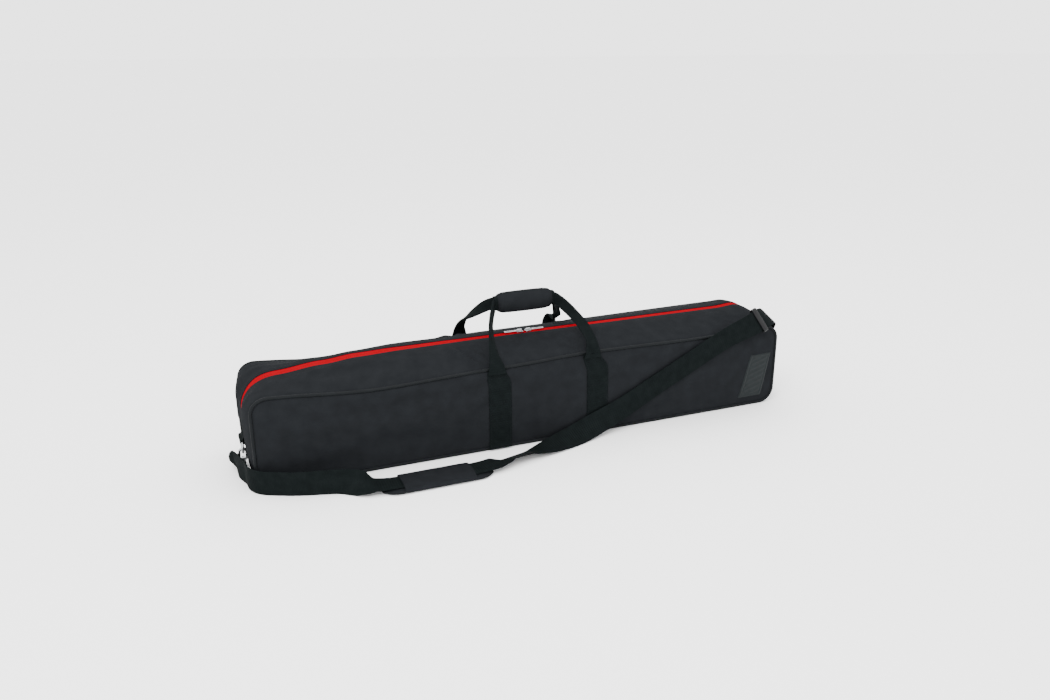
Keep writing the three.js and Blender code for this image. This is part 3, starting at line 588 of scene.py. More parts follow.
# ---- Surfaces of the case ----
def outline(s, half, low, top, radius):
    """Upside-down U outline at stations s from 0 to 1: its X, Z and normal in X-Z."""
    angle = np.interp(s, [0.1, 0.35, 0.65, 0.9], [math.pi, math.pi / 2, math.pi / 2, 0])
    run = np.interp(s, [0.35, 0.65], [-1, 1]) * (half - radius)
    drop = np.interp(s, [0, 0.1, 0.9, 1], [1, 0, 0, 1]) * (top - radius - low)
    nx, nz = np.cos(angle), np.sin(angle)
    return run + radius * nx, top - radius - drop + radius * nz, nx, nz


def stations():
    """Stations along the outline: up one side, round a corner, along the middle, and down again."""
    parts = [(0, 0.1, 6), (0.1, 0.35, 22), (0.35, 0.65, 230), (0.65, 0.9, 22), (0.9, 1, 6)]
    return np.concatenate([np.linspace(a, b, n, endpoint=False) for a, b, n in parts] + [[1.0]])


def rise(y):
    return np.cos(math.pi / 2 * np.clip(np.abs(y) / GUSSET_EDGE, 0, 1))


def crown(s, y, sink):
    """Point of the upper gusset at station s and distance y from the zip, sunk inwards."""
    x0, z0, nx0, nz0 = outline(s, HALF, FOLD_Z, HEIGHT, PANEL_RADIUS)
    x1, z1, _, _ = outline(s, HALF + END_BULGE, FOLD_Z, HEIGHT + CREST, CREST_RADIUS)
    r = rise(y)
    x = x0 + (x1 - x0) * r - nx0 * sink
    z = z0 + (z1 - z0) * r - nz0 * sink
    return xyz(x, y, z)


def lower(s, y, sink):
    """Point of the lower gusset, which runs down the ends and under the case."""
    x, z, nx, nz = outline(s, HALF, -FOLD_Z, 0, PANEL_RADIUS)
    z, nz = -z, -nz
    swell = END_BULGE * rise(y) * np.sin(math.pi / 2 * np.clip(z / FOLD_Z, 0, 1)) * np.abs(nx)
    x = x + np.sign(nx) * swell - nx * sink
    return xyz(x + fullness(x, y), y, z - nz * sink)


def fullness(x, y):
    """How far the filled ends stand out beyond the frame beside the zip."""
    return (3 * smooth(x, 480, 575) - 9 * smooth(-x, 480, 575)) * smooth(np.abs(y), 20, 60)


# How far the filled case has sunk below its frame along the zip and both top edges: (x, drop)
SAG_CREST = ((-590, 12), (-520, 18), (-430, 9), (-360, 3), (-271, 1), (0, 0), (472, 0), (535, -4), (590, 0))
SAG_FRONT = ((-575, 4), (-345, 18), (-110, 11), (110, 4), (400, 8), (575, 2))
SAG_REAR = ((-575, 2), (-400, 15), (-266, 9), (-60, 2), (575, -2))


def profile(x, points):
    """Smooth line through a few heights along the case."""
    xs, heights = (np.array(values, float) for values in zip(*points))
    i = np.clip(np.searchsorted(xs, x) - 1, 0, len(xs) - 2)
    return heights[i] + (heights[i + 1] - heights[i]) * smooth(x, xs[i], xs[i + 1])


def folds(u, v, creases):
    """Height of soft creases over a surface: (u, v, angle in degrees, half length, half width, height)."""
    total = np.zeros(np.broadcast(u, v).shape)
    for u0, v0, angle, length, width, height in creases:
        c, s = math.cos(math.radians(angle)), math.sin(math.radians(angle))
        along = (u - u0) * c + (v - v0) * s
        off = (v - v0) * c - (u - u0) * s
        total += height * np.exp(-((along / length) ** 2) - (off / width) ** 2)
    return total


def soften(p):
    """Moves shell points from the frame's crisp shape to the filled, sagging one."""
    x, y, z = p[..., 0], p[..., 1], p[..., 2]
    across = np.clip(np.abs(y) / PIPING_Y, 0, 1) ** 2
    edge = np.where(y < 0, profile(x, SAG_FRONT), profile(x, SAG_REAR))
    sag = profile(x, SAG_CREST) * (1 - across) + edge * across
    belly = 4.0 * np.sin(math.pi * np.clip(z / HEIGHT, 0, 1)) * np.clip(1 - (x / HALF) ** 2, 0, 1) ** 0.35
    moved = np.array(p, float)
    moved[..., 0] += fullness(x, y)
    moved[..., 2] -= sag * smooth(z, 90, 180)
    moved[..., 1] += np.sign(y) * belly * smooth(np.abs(y), 94, 106)
    return moved


# ---- Padded panels ----
FRONT_CREASES = [
    (-520, 150, -35, 45, 9, 1.6), (-500, 120, -20, 70, 14, 1.4), (-440, 60, 12, 90, 20, 1.8),
    (-330, 140, 4, 120, 16, -1.8), (-300, 95, -8, 110, 22, 1.6), (-190, 150, 20, 60, 12, 1.2),
    (-160, 60, 78, 60, 14, -1.0), (-40, 120, -70, 55, 16, 1.1), (30, 60, 8, 80, 18, 1.4),
    (170, 150, 60, 40, 12, 1.2), (250, 60, 18, 110, 18, 1.4), (330, 120, 25, 80, 18, -1.4),
    (430, 70, -12, 80, 18, 1.4), (520, 150, 40, 40, 10, 1.2), (-545, 60, 80, 50, 10, -1.2),
]
BACK_CREASES = [(-x, z, -angle, *size) for x, z, angle, *size in FRONT_CREASES]


def panel_grid(inset, columns=130, rows=40, corner=10):
    """X and Z of a grid that fills the panel's rounded outline."""
    reach, r = HALF - PANEL_RADIUS, PANEL_RADIUS - inset
    bend = reach + r * np.sin(np.linspace(math.pi / 2, 0, corner, endpoint=False))
    x = np.concatenate([-bend, np.linspace(-reach, reach, columns), bend[::-1]])
    over = np.clip(np.abs(x) - reach, 0, r)
    round_off = r - np.sqrt(np.maximum(r * r - over * over, 0))
    low, high = inset + 0.8 + round_off, HEIGHT - inset - round_off
    t = (1 - np.cos(np.linspace(0, math.pi, rows))) / 2 * 0.5 + np.linspace(0, 1, rows) * 0.5
    return x[:, None] + 0 * t, low[:, None] + (high - low)[:, None] * t


def seam_distance(x, z):
    """Distance inwards from the rounded outline of the panel."""
    u = np.abs(x) - (HALF - PANEL_RADIUS)
    v = np.abs(z - HEIGHT / 2) - (HEIGHT / 2 - PANEL_RADIUS)
    outside = np.hypot(np.maximum(u, 0), np.maximum(v, 0)) + np.minimum(np.maximum(u, v), 0)
    return np.maximum(PANEL_RADIUS - outside, 0)


def cover_face(x, z, side, proud=0.0):
    """Point of the padded cover's outer face, which pulls in to the piped seam."""
    creases = FRONT_CREASES if side < 0 else BACK_CREASES
    d = seam_distance(x, z)
    pull = 5.5 * np.exp(-np.maximum(d - 3.5, 0) / 6)
    y = side * (DEPTH / 2 - pull + 1.5 * folds(x, z, creases) * smooth(d, 8, 30) + proud)
    return soften(xyz(x, y, z))


def panel_layer(inset, side, start, end, puffed=True):
    x, z = panel_grid(inset)
    faces = []
    for depth in (start, end):
        if puffed:
            faces.append(cover_face(x, z, side, -depth))
        else:
            faces.append(soften(xyz(x, side * (DEPTH / 2 - depth), z)))
    return slab(*faces)


COVER_LAYERS = (
    ("panel", 5, 0, 2.2, True, NYLON),
    ("foam", 11, 3.4, 8.8, False, FOAM),
    ("lining", 10, 9.3, 10.2, False, LINING),
)
for layer, inset, start, end, puffed, material in COVER_LAYERS:
    for name, side, body, nodes in (("back", 1, "case", [f"back_{layer}"]),
                                    ("front", -1, FOLDING, [f"front_{layer}_upper", f"front_{layer}_lower"])):
        shapes = [panel_layer(inset, side, start, end, puffed)]
        cover = make(f"{name}_{layer}_padded", shapes, material, body, *nodes)


# ---- Piping round both panels ----
def piping_line(side):
    s = stations()
    low_edge = PIPING + 0.9
    half, radius = HALF - PIPING_INSET, PANEL_RADIUS - PIPING_INSET
    x, z, _, _ = outline(s, half, FOLD_Z, HEIGHT - PIPING_INSET, radius)
    u, v, _, _ = outline(s[::-1], half, -FOLD_Z, -low_edge, radius)
    return soften(xyz(np.concatenate([x, u[1:-1]]), side * PIPING_Y, np.concatenate([z, -v[1:-1]])))


for name, side, body in HALVES[::-1]:
    make(f"{name}_piping", [sweep(piping_line(side), circle(PIPING, 12), closed=True)], BINDING, body,
         f"{name}_piping_upper", f"{name}_piping_lower")


# ---- Upper gusset in two halves, with its folded hems beside the zip ----
GUSSET_CREASES = [
    (-143, 62, 53, 32, 6.5, -6.5), (-158, 60, 53, 32, 8, 3.4), (-127, 72, 58, 24, 7, 3.0),
    (-92, 80, 95, 16, 6, -3.0), (130, 62, 124, 32, 6.5, -5.6), (145, 62, 122, 30, 8, 3.0),
    (112, 72, 116, 22, 7, 2.6), (82, 80, 85, 16, 6, -2.8), (-380, 60, 6, 120, 12, -2.2),
    (-470, 40, -12, 70, 12, 2.0), (300, 62, -3, 150, 14, -1.6), (-30, 60, 2, 70, 14, -1.6),
    (470, 50, 14, 70, 12, 1.6), (-250, 50, -6, 80, 12, 1.6),
]
HEM_SEAM = 20.5
HEM_REACH = 40
COIL_POINTS = 700


def hem_cover(s, y=0):
    """How much further the hems reach over the tape than near the left end."""
    x = crown(s, y, 0)[..., 0]
    return 5.0 * smooth(x, -420, -60) + 5.0 * smooth(-x, 548, 584)


def gusset_relief(s, y):
    away = np.abs(y)
    return (folds(crown(s, y, 0)[..., 0], away, GUSSET_CREASES)
            * smooth(away, 22, 40) * smooth(PIPING_Y - away, 0, 12))


def gusset_point(s, y, sink):
    """Point of the soft upper gusset: pulled in at the piped seam, with a stitched hem at the zip."""
    away = np.abs(y) + hem_cover(s, y) * smooth(np.abs(y), HEM_REACH, 20)
    pull = 3.5 * np.exp(-np.maximum(PIPING_Y - 2 - away, 0) / 5)
    hem = 0.5 * smooth(away, 22, 19) + 0.5 * ridge(away, HEM_SEAM, 1.1)
    return soften(crown(s, y, sink + pull - gusset_relief(s, y) + hem - 1.0))


def lining_point(s, y, sink):
    return soften(crown(s, y, sink - gusset_relief(s, y)))


def tape_point(s, y, sink):
    return soften(crown(s, y, sink))


def sheet(point, s, y, start, end):
    """A closed sheet between two depths under a surface, over stations s and distances y from the zip."""
    return slab(point(s[:, None], y, start), point(s[:, None], y, end))


def across_gusset(side, start, end, count):
    t = np.linspace(0, 1, count)
    return side * (start + (end - start) * (0.5 * t + 0.5 * smooth(t, 0, 1)))


for name, side, body in HALVES:
    s = stations()
    cover = hem_cover(s[:, None])
    edge = across_gusset(side, PIPING_Y - 1.5, TAPE - 0.6, 40)
    edge = edge - side * cover * smooth(np.abs(edge), HEM_REACH, TAPE - 0.6)
    make(f"{name}_zip_gusset_cloth", [sheet(gusset_point, s, edge, 0, 2.2)], NYLON, body,
         f"{name}_zip_gusset")
    inner = across_gusset(side, GUSSET_EDGE - 4, TAPE + 2, 20)
    make(f"{name}_gusset_lining_cloth", [sheet(lining_point, s, inner, 3.6, 4.4)], LINING, body,
         f"{name}_gusset_lining")
    away = np.array([17.5, 16.4, 15.4, 14.4, 12.5, 10, 7.5, 5, 3.4, 2.6, 1.9, 1.2, 0.6, 0.2])
    sink = (0.7 + 1.4 * smooth(away + cover, 13.5, 15.6)
            - 0.8 * ridge(away, 1.4, 1.2) + 0.5 * ridge(away, 3.6, 0.6))
    make(f"{name}_zip_tape_red", [sheet(tape_point, s, side * away, sink, sink + 1.0)], RED, body,
         f"{name}_zip_tape")
    wiggle = side * (1.7 + 0.5 * np.sin(np.arange(COIL_POINTS) * 1.6))
    coil_line = tape_point(np.linspace(0, 1, COIL_POINTS), wiggle, 3.0)
    make(f"{name}_zip_coil_line", [sweep(coil_line, circle(1.0, 8))], PLASTIC, body, f"{name}_zip_coil")


# ---- Lower gusset round the ends and the base ----
END_CREASES = [(30, 60, 60, 40, 8, 1.4), (-30, 45, -55, 40, 9, 1.4), (0, 80, 5, 60, 8, -1.2)]


def base_point(s, y, sink):
    pull = 3.0 * np.exp(-np.maximum(PIPING_Y - 2 - np.abs(y), 0) / 5)
    flat = lower(s, y, 0)
    on_end = smooth(np.abs(flat[..., 0]), HALF - 12, HALF - 2)
    return lower(s, y, sink + pull - folds(y, flat[..., 2], END_CREASES) * on_end)


base_y = np.concatenate([across_gusset(-1, PIPING_Y - 1.5, 0, 22),
                         across_gusset(1, 0, PIPING_Y - 1.5, 22)[1:]])
make("bottom_gusset_cloth", [sheet(base_point, stations(), base_y, 0, 2.4)], NYLON, "case", "bottom_gusset")
inner_y = np.linspace(-GUSSET_EDGE + 4, GUSSET_EDGE - 4, 30)
make("bottom_lining_cloth", [sheet(lower, stations(), inner_y, 3.9, 4.8)], LINING, "case", "bottom_lining")


# ---- Stitching ----
STITCH = 3.4
THREAD_RADIUS = 0.36
STITCH_SIDES = 5
# How far along and how high a stitch starts, rises, sinks and ends
STITCH_SPINE = ((-0.34, -0.5), (-0.24, 0.1), (0.24, 0.1), (0.34, -0.5))


def stitches(*rows):
    """Short raised threads along rows of points; each row is its points and outward normal or normals."""
    pattern = []
    for i in range(STITCH_SIDES):
        j = (i + 1) % STITCH_SIDES
        pattern += [[0, 1 + j, 1 + i], [1 + i, 1 + j, 6 + j, 6 + i], [11, 6 + i, 6 + j]]
    angle = full_turn(STITCH_SIDES)[:, None]
    shapes = []
    for points, normals in rows:
        places = even(points, STITCH)
        along = unit(np.gradient(places, axis=0))
        side = unit(np.cross(along, even(points, STITCH, np.broadcast_to(normals, points.shape))))
        up = np.cross(side, along)
        ring = (side[:, None] * np.cos(angle) + up[:, None] * np.sin(angle)) * THREAD_RADIUS
        start, rise, fall, end = ((places + along * step * STITCH + up * lift)[:, None]
                                  for step, lift in STITCH_SPINE)
        vertices = np.concatenate([start, rise + ring, fall + ring, end], axis=1)
        count = vertices.shape[1]
        faces = [[count * k + i for i in face] for k in range(len(places)) for face in pattern]
        vertices = vertices.reshape(-1, 3)
        shapes.append((vertices, faces, vertices[:, :2] * MM))
    return shapes


for name, side, body in HALVES:
    s = stations()
    row = gusset_point(s, side * (HEM_SEAM - hem_cover(s)), 0.45)
    _, _, nx, nz = outline(s, HALF + END_BULGE, FOLD_Z, HEIGHT + CREST, CREST_RADIUS)
    make(f"{name}_hem_stitching", stitches((row, xyz(nx, 0, nz))), THREAD, body, slot="shell_fabric")


# ---- Webbing sewn up the panels ----
WEB_TOP = 186.0
WEB_BARS = {"left": (104.0, 168.0), "right": (112.0, 166.0)}


def web_width(z):
    """Share of the full width left at height z, where the band gathers into the handle's foot."""
    return 1 - 0.21 * smooth(z, 158, WEB_TOP)


def web_point(half, sign, v, z, proud):
    """Point of the webbing at share v of its half width; it leans over to the handle's foot."""
    x0 = sign * WEBBING_X + (FRONT_SHIFT if half == "front" else 0)
    foot = sign * WEBBING_X + FOOT_SHIFT[half, sign]
    x = x0 + v * WEBBING_WIDTH / 2 * web_width(z) + (foot - x0) * smooth(z, 148, WEB_TOP)
    pucker = smooth(z, 160, WEB_TOP) * (3.2 * (1 - np.abs(v)) - 1.4)
    over_piping = 5.0 * smooth(z, 172, WEB_TOP) + 3.6 * smooth(z, 16, 5)
    on_panel = np.clip(z, 8, 181)
    flat = cover_face(x, on_panel, SIDE[half], proud + 0.5 + pucker + over_piping)
    flat[..., 2] += z - on_panel
    return flat


def webbing_strip(half, sign):
    z = np.linspace(3.5, WEB_TOP, 60)[:, None]
    thick = 0.9 * np.sqrt(1 - 0.75 * np.abs(EDGE) ** 12)
    return slab(web_point(half, sign, EDGE, z, 0.9 + thick), web_point(half, sign, EDGE, z, 0.9 - thick))


def web_stitching(half, sign, bars):
    seam = 0.86
    z = np.linspace(10, 172, 80)
    lines = [web_point(half, sign, v, z, 1.85) for v in (-seam, seam)]
    v = np.linspace(-seam, seam, 24)
    lines += [web_point(half, sign, v, bar + step, 1.9) for bar in bars for step in (0, 3)]
    return stitches(*((line, (0, SIDE[half], 0)) for line in lines))


for hand, sign in ENDS:
    for half, _, body in HALVES:
        name = f"{half}_webbing_{hand}"
        nodes = [f"{name}_upper", f"{name}_lower"] if half == "front" else [name]
        make(f"{name}_band", [webbing_strip(half, sign)], WEB, body, *nodes)
        make(f"{name}_stitching", web_stitching(half, sign, WEB_BARS[hand]), THREAD, body, slot="webbing")


# ---- Carry handles: each band gathers at its foot and runs folded through the grip ----
FOOT_DROP = {("front", -1): 11, ("front", 1): 4, ("rear", -1): 4, ("rear", 1): 0}
HANDLE_STEPS = 12
# Directions across the bands from foot to grip; the front one twists edge-on in its left leg
PLAIN_LEG = ((1, 0, 0), (1, 0, 0.1), (0.9, 0, 0.5), (0.5, 0, 0.9), (0.1, 0, 1))
FRONT_LEGS = {
    -1: ((1, 0, 0), (0.95, 0.2, -0.2), (0.6, 0.5, -0.62), (0.41, 0.55, -0.73), (0.2, 0.25, -0.95)),
    1: tuple((-x, -y, -z) for x, y, z in PLAIN_LEG),
}


def handle_foot(half, sign, slack):
    """Knots of a handle's leg from its foot to the grip; a slack leg hangs lower."""
    side = SIDE[half]
    sunk = FOOT_DROP[half, sign]
    loose = slack if sign > 0 else 0
    shifted = FOOT_SHIFT[half, sign]
    x = sign * WEBBING_X + shifted
    ways = FRONT_LEGS[sign] if half == "front" else PLAIN_LEG
    hand = -side if half == "front" and sign > 0 else side
    return [
        ((x, side * 114.5, 178 - sunk), ways[0], 38, 2.2, hand * 3),
        ((x, side * 113.5, 193 - 0.8 * sunk), ways[0], 31, 2.4, hand * 7),
        ((x + sign, side * 105, 208 - sunk / 3), ways[1], 23, 3.4, hand * 5),
        ((x - 2 * sign, side * (80 - loose / 2), 229 - loose), ways[2], 22, 4.6, 0),
        ((x - 14 * sign - 0.2 * shifted, side * 46, 252 - loose), ways[3], 22, 4.6, 0),
        ((x - 32 * sign - 0.5 * shifted, side * 16, 273 - loose / 3), ways[4], 24, 4.6, 0),
    ]


def handle_knots(half, slack):
    way = (0, 0, -1 if half == "front" else 1)
    grip = [((share * (GRIP_HALF + 4), SIDE[half] * BAND_Y, GRIP_Z), way, 24, 4.6, 0)
            for share in (-1, -0.33, 0.33, 1)]
    return handle_foot(half, -1, slack) + grip + handle_foot(half, 1, slack)[::-1]


def handle_seams(frames):
    """Stitch rows along both edges and on both faces of a handle, clear of its feet."""
    middle, _, wide, normal, width, thick, depth = part_of(frames, 14, len(frames[0]) - 14)
    rows = []
    for v in (-0.8, 0.8):
        for face in (-1, 1):
            lift = depth * (1 - abs(v)) - depth / 2 + face * thick / 2
            line = middle + wide * (width / 2 * v)[:, None] + normal * lift[:, None]
            rows.append((line, normal * face))
    return rows


for name, slack, foot_body in (("front", 0, "lid"), ("rear", 18, "case")):
    y = SIDE[name] * 0.112
    body = (foot_body, f"{name}_carry_handle", (0, y, 0.184), (0, y, 0.202))
    frames = ribbon_frames(handle_knots(name, slack), HANDLE_STEPS)
    make(f"{name}_handle_band", [ribbon(frames)], WEB, body, f"{name}_handle")
    make(f"{name}_handle_stitching", stitches(*handle_seams(frames)), THREAD, body, slot="webbing")


# ---- Grip: padded wrap with its flap closed round both bands ----
GRIP_RADII = (17.5, 21.5)
GRIP_WALL = 6.5
GRIP_BELLY = 0.9


def leaf(start, end, columns=44, rows=30):
    """A padded leaf of the grip from one angle to another, in degrees, pulled in at its edges."""
    x = GRIP_HALF * np.sin(np.linspace(-math.pi / 2, math.pi / 2, columns))[:, None]
    t = np.linspace(0, 1, rows)
    angle = np.radians(start + (end - start) * (0.5 * t + 0.5 * smooth(t, 0, 1)))
    from_end = GRIP_HALF - np.abs(x)
    from_edge = np.minimum(t, 1 - t) * abs(math.radians(end - start)) * GRIP_RADII[0]
    pull = 5.4 * np.exp(-from_end / 5.5) + 1.8 * np.exp(-from_edge / 2.2)
    swell = GRIP_BELLY * np.cos(math.pi / 2 * x / GRIP_HALF)
    wrinkle = 0.35 * np.sin(x * 0.42 + 2 * angle) * np.exp(-from_end / 26)
    y, z = ([radius - shrink for shrink in (pull - swell - wrinkle, GRIP_WALL)] for radius in GRIP_RADII)
    return [xyz(x, y[face] * np.cos(angle), GRIP_Z + z[face] * np.sin(angle)) for face in (0, 1)]


def leaf_rows(outer, inner):
    """Stitch rows inside the ends and the long edges of a leaf."""
    out = unit(outer - inner)
    parts = np.s_[5, 3:-3], np.s_[-6, 3:-3], np.s_[5:-5, 4], np.s_[5:-5, -5]
    return [(outer[part] + out[part] * 0.15, out[part]) for part in parts]


for name, body, angles in (("wrap", "front_carry_handle", (91, 269)), ("flap", "grip_closure", (89, -89))):
    grids = leaf(*angles)
    padded = make(f"grip_{name}_padded", [slab(*grids)], NYLON, body, f"grip_{name}")
    make(f"grip_{name}_stitching", stitches(*leaf_rows(*grids)), THREAD, body, slot="shell_fabric")


def keeper(x0, x1):
    """Short webbing sleeve where both bands leave the grip."""
    angle = full_turn(28)
    y, z = (np.sign(f) * np.abs(f) ** 0.5 for f in (np.cos(angle), np.sin(angle)))
    rings = [xyz(x, (8.6 + grow) * y, GRIP_Z + (13.8 + grow) * z)
             for x, grow in ((x0, -0.8), (x0, 0.6), ((x0 + x1) / 2, 1.0), (x1, 0.6), (x1, -0.8))]
    return tube_shape(np.array(rings))


for name, sign in ENDS:
    make(f"grip_keeper_{name}", [keeper(sign * (GRIP_HALF - 2), sign * (GRIP_HALF + 6.5))], WEB,
         "front_carry_handle")


# ---- Shoulder pad and the sleeve that holds the strap on it ----
PAD_LENGTH = 216.0
PAD_WIDTH = 66.0
PAD_EDGE_Z = 4.2
SLEEVE_HALF = 70.0


def closing_in(count):
    """Shares from -1 to 1 that lie closer together towards both ends."""
    return np.sin(np.linspace(-math.pi / 2, math.pi / 2, count))


def pad_shapes():
    """Padded tongue-ended pad: a crowned top over a flat underside, with a bound edge."""
    u = closing_in(90)[:, None]
    v = closing_in(24)
    from_end = PAD_LENGTH / 2 * (1 - np.abs(u))
    waist = (PAD_WIDTH / 2 - 1) * (1 - 0.5 * np.clip(1 - from_end / 32, 0, 1) ** 2.2)
    x, y = PAD[0] + PAD_LENGTH / 2 * u, PAD[1] + waist * v
    edge = np.minimum(from_end, waist * (1 - np.abs(v)))
    upper = xyz(x, y, 4.4 + 3.9 * (1 - np.exp(-edge / 5)) - 0.7 * ridge(edge, 6, 1.2))
    under = xyz(x, y, 3.9 - 3.5 * (1 - np.exp(-edge / 3)))
    rim = rim_of(upper)
    rim[:, 2] = PAD_EDGE_Z
    rim = even(np.concatenate([rim, rim[:1]]), 3)[:-1]
    return [slab(upper, under)], [sweep(rim, circle(2.0, 8), closed=True)]


pad_body, pad_edge = pad_shapes()
pad = make("shoulder_pad_padded", pad_body, NYLON, "case", "shoulder_pad")
pad_binding = make("shoulder_pad_binding", pad_edge, BINDING, "case")


def sleeve_point(x, v, lift):
    """Sleeve arching from one edge of the pad over the strap to the other."""
    y = PAD[1] + v * (PAD_WIDTH / 2 + 1.6)
    z = PAD_TOP + 0.4 + 5.2 * (1 - np.abs(v) ** 3.2) - 4.6 * smooth(np.abs(v), 0.86, 1) + lift
    return xyz(PAD[0] + x, y, z)


sleeve_x = np.linspace(-SLEEVE_HALF, SLEEVE_HALF, 60)[:, None]
sleeve_v = closing_in(28)
puff = 0.6 * np.sin(sleeve_x * 0.11) * np.sin(sleeve_v * 3 + 1)
sleeve = make("pad_sleeve_cloth", [slab(sleeve_point(sleeve_x, sleeve_v, 0.9 + puff),
                                        sleeve_point(sleeve_x, sleeve_v, 0))], NYLON, "case", "pad_sleeve")
seam_x = SLEEVE_HALF - 4
sleeve_rows = [sleeve_point(x, np.linspace(-0.95, 0.95, 30), 1.0) for x in (-seam_x, seam_x)]
sleeve_rows += [sleeve_point(np.linspace(-seam_x, seam_x, 40), v, 1.0) for v in (-0.84, 0.84)]
sleeve_stitches = stitches(*((row, (0, 0, 1)) for row in sleeve_rows))
sleeve_sewn = make("pad_sleeve_stitching", sleeve_stitches, THREAD, "case", slot="shell_fabric")


# ---- Strap adjuster ----
def frame_matrix(frames, index):
    middle, along, wide, normal = (values[index] for values in frames[:4])
    rows = np.stack([along, wide, normal, middle], axis=-1).tolist()
    return Matrix((*rows, (0, 0, 0, 1)))


def make_adjuster():
    place = frame_matrix(strap_frames, int(ADJUSTER_KNOT * STRAP_STEPS))
    loops = [rounded(-4.8, 4.8, STRAP_WIDTH + 10, 4), rounded(-3.2, 3.2, STRAP_WIDTH + 3, 1.2)]
    surround = cast(loops, 15, 1.0, place @ Matrix.Rotation(math.pi / 2, 4, "Y"))
    bar = cast([rounded(-3.6, 3.6, STRAP_WIDTH + 4, 1.5)], 1.8, 0.7, place @ shift(0, 0, 2.7))
    return make("strap_adjuster_frame", [surround, bar], PLASTIC, STRAP_FOLDING, "strap_adjuster")


adjuster = make_adjuster()


# ---- Zip sliders and pulls ----
PULL_LENGTH = 33.0


def make_zip(name, sign):
    base = shift(0, 0, SLIDER_Z) @ facing(sign) @ shift(3, 0, 0)
    plate = cast([bar_loop(0, 14, 11, 6.4, 2.2)], 2.0, 0.5, base @ shift(0, 0, 1.0))
    bridge_loop = [(1.2, 1), (1.2, 4.2), (1.7, 5.3), (3, 6), (11, 6), (12.3, 5.3), (12.8, 4.2), (12.8, 1),
                   (11.3, 1), (11.3, 3.9), (10.4, 4.6), (3.6, 4.6), (2.7, 3.9), (2.7, 1)]
    bridge = cast([bridge_loop], 3.8, 0.4, base @ UPRIGHT)
    wings = [cast([bar_loop(0.6, 11, 1.2, 1.2, 0.5)], 1.6, 0.3, base @ shift(0, y, 2.3)) for y in (-4.6, 4.6)]
    make(f"{name}_slider_cast", [plate, bridge, *wings], METAL, f"{name}_zip_slider", f"{name}_slider")
    outer = bar_loop(0, PULL_LENGTH, 7, 7, 3.2)
    eye = rounded(1.8, 6.6, 4.8, 1.0)
    slot = rounded(9.2, PULL_LENGTH - 3.4, 3.4, 1.6)
    pull = cast([outer, eye, slot], 1.6, 0.5, shift(0, 0, SLIDER_Z + 3.3) @ facing(sign) @ shift(11.8, 0, 0))
    make(f"{name}_pull_cast", [pull], METAL, f"{name}_zip_pull", f"{name}_pull")


for name, sign in ENDS:
    make_zip(name, sign)


# ---- Ring tabs, D-rings, snap hooks and the strap's sewn ends ----
END_X = HALF + END_BULGE
HOOK_CENTRE = RING_Z - 26 - 1.3
EYE_LOW = 7.5
EYE_HIGH = 14.7


def ring_path():
    half, corner, drop = 26.0, 5.0, 26.0
    points = [(0, 0, 0), (0, half - corner, 0), (0, half - 1.2, -1.2), (0, half, -corner)]
    for i in range(1, 8):
        angle = math.pi * i / 8
        points.append((0, half * math.cos(angle), -corner - (drop - corner) * math.sin(angle)))
    points += [(0, -half, -corner), (0, -half + 1.2, -1.2), (0, -half + corner, 0)]
    return curve_through(points, 8, closed=True)


def eye_path():
    half = 30.0
    corner = [(half - 5, EYE_LOW), (half - 2, EYE_LOW), (half, EYE_LOW + 2),
              (half, EYE_HIGH - 2), (half - 2, EYE_HIGH), (half - 5, EYE_HIGH)]
    points = [(0, 0, EYE_LOW), *((0, y, z) for y, z in corner), (0, 0, EYE_HIGH)]
    points += [(0, -y, z) for y, z in corner[::-1]]
    return curve_through(points, 8, closed=True)


def collar():
    angle = full_turn(28)
    profile_rz = [(4.2, 13.4), (4.7, 13.9), (4.7, 16.2), (4.2, 16.9), (1.5, 17.0)]
    return tube_shape(np.array([xyz(r * np.cos(angle), r * np.sin(angle), z) for r, z in profile_rz]))


def strap_loop():
    """The strap's sewn loop round the low bar of the swivel eye."""
    angle = np.radians(np.linspace(20, 380, 40))[:, None]
    outer, inner = (xyz(r * np.cos(angle), STRAP_WIDTH / 2 * EDGE, EYE_LOW + r * np.sin(angle))
                    for r in (4.5, 2.6))
    return slab(outer, inner)


def moved(shape, matrix):
    vertices, faces, uv = shape
    return np.array([matrix @ Vector(v) for v in vertices]), faces, uv


HOOK_LOOP = ([(-3.6, 17.3), (3.6, 17.3), (4.2, 21), (6.6, 22.6), (8.5, 24.6), (8.5, 27), (-3.2, 27),
              (-4.3, 28.1)] + arc(0, HOOK_CENTRE, 4.3, 180, 0, 14) + [(8.5, HOOK_CENTRE)]
             + arc(0, HOOK_CENTRE, 8.5, 8, 180, 22) + [(-8.5, 25.4), (-7.4, 23.4), (-4.2, 21)])
GATE_LOOP = ([(5.0, 28.2)] + arc(6.45, 29.05, 1.75, 200, 340, 8)
             + [(8.2, 30), (10.6, 32.4), (11.2, 33.4), (11.2, 35), (10.6, 35.6), (8.2, 36.2),
                (8.2, HOOK_CENTRE - 0.4), (4.75, HOOK_CENTRE - 0.4)])
ZIP_END_LOOP = [(0.5, 87.2), (0.5, 91), (1.6, 91), (1.6, 87.2)]
TAB_ROUTE = [(591.9, 86), (592.0, 78), (593.2, 71.5), (597.2, 69.2), (598.3, 65.6), (595.8, 62.3),
             (591.9, 62.9), (590.6, 67), (589.9, 73), (589.6, 80), (589.6, 86)]
# The tab is sewn on along its top, along its bottom and with a cross between them
TAB_CORNERS = ((592.75, -16, 84), (592.75, 16, 84), (592.9, -16, 75), (592.9, 16, 75))
TAB_SEAMS = ((0, 1), (2, 3), (2, 1), (3, 0))


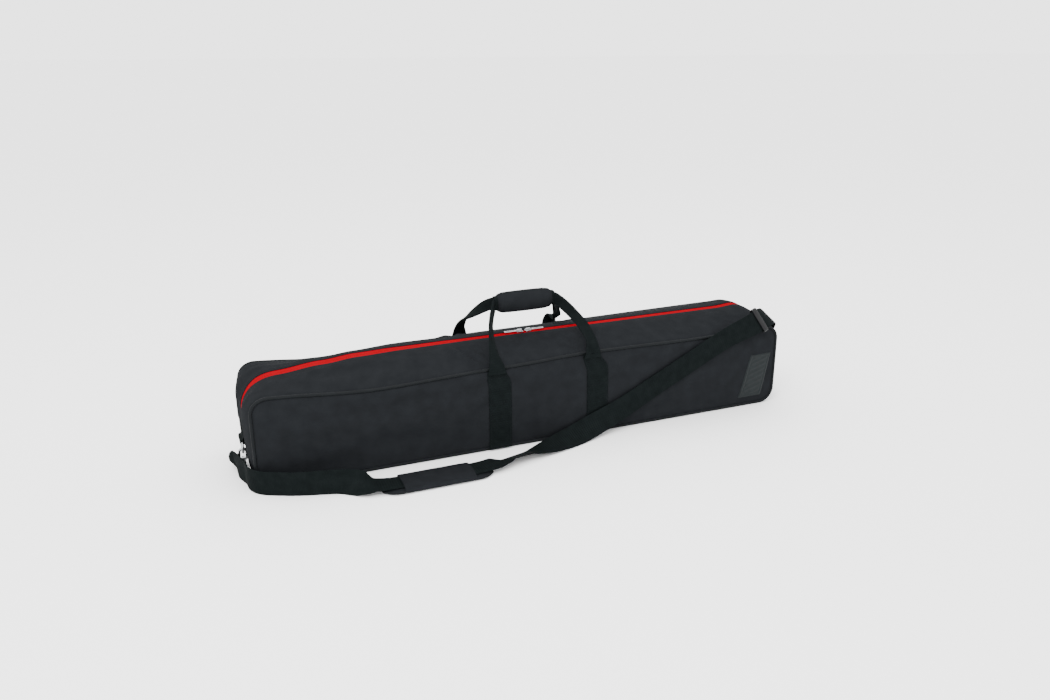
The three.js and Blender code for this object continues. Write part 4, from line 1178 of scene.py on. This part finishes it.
def make_end(name, sign):
    turn = facing(sign)
    at_end = shift(sign * RING_X, 0, 0)
    at_ring = shift(sign * RING_X, 0, RING_Z)
    on_hook = at_end @ turn @ UPRIGHT
    group = f"{name}_ring_group"

    zip_end = cast([ZIP_END_LOOP], 34, 0.3, turn @ shift(END_X, 0, 0) @ UPRIGHT)
    make(f"{name}_zip_end_patch", [zip_end], BINDING, "case", f"{name}_zip_end")

    knots = [((x, 0, z), (0, 1, 0), 40, 1.3, 0) for x, z in TAB_ROUTE]
    tab = moved(ribbon(ribbon_frames(knots, 6)), turn)
    make(f"{name}_ring_tab_web", [tab], WEB, "case", f"{name}_ring_tab")
    rows = [(np.linspace(TAB_CORNERS[a], TAB_CORNERS[b], 20), (1, 0, 0)) for a, b in TAB_SEAMS]
    sewn = [moved(shape, turn) for shape in stitches(*rows)]
    make(f"{name}_ring_tab_stitching", sewn, THREAD, "case", slot="webbing")

    ring = moved(sweep(ring_path(), circle(2.3, 16), closed=True), at_ring)
    make(f"{name}_ring_wire", [ring], METAL, group, f"{name}_ring")
    eye = moved(sweep(eye_path(), circle(2.1, 12), closed=True), at_end)
    make(f"{name}_swivel_eye", [eye, moved(collar(), at_end)], PLASTIC, group, f"{name}_eye")
    make(f"{name}_strap_loop_web", [moved(strap_loop(), at_end)], WEB, group, f"{name}_strap_loop")

    hook = cast([HOOK_LOOP], 6, 1.3, on_hook)
    make(f"{name}_snap_hook_cast", [hook], METAL, f"{name}_snap_hook", f"{name}_hook")
    gate = cast([GATE_LOOP], 5, 0.7, on_hook)
    make(f"{name}_hook_gate_moulded", [gate], PLASTIC, f"{name}_hook_gate", f"{name}_gate")


for name, sign in ENDS:
    make_end(name, sign)


# ---- Slanted rubber patch with plain moulded ribs ----
# X of its left and right edge and the height, at its bottom and at its top
PATCH_LOW = (479.0, 538.0, 23.0)
PATCH_HIGH = (505.0, 557.0, 123.5)


def patch_point(u, v, proud):
    """Point of the patch at shares u along and v up."""
    left, right, z = (low + (high - low) * v for low, high in zip(PATCH_LOW, PATCH_HIGH))
    return cover_face(left + (right - left) * u, z, -1, proud)


def make_patch():
    u = (1 + closing_in(60))[:, None] / 2
    v = (1 + closing_in(90)) / 2
    edge = np.minimum(np.minimum(u, 1 - u) * 55, np.minimum(v, 1 - v) * 100)
    body = 0.9 - 0.7 * np.exp(-edge / 0.8)
    rim = 0.5 * smooth(edge, 1.8, 2.4) * smooth(edge, 5.0, 4.4)
    lines = np.cos((v * 100 - u * 18) * 2 * math.pi / 12.5)
    ribs = 0.5 * smooth(lines, 0.1, 0.5) * smooth(edge, 8.0, 9.0)
    return slab(patch_point(u, v, body + rim + ribs + 0.3), patch_point(u, v, 0.0))


make("rubber_patch_moulded", [make_patch()], RUBBER, FOLDING, "rubber_patch", crease=35)


# ---- Base board keeps its CAD shape ----
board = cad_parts["base_board"]
board.data.materials.clear()
board.data.materials.append(BOARD)
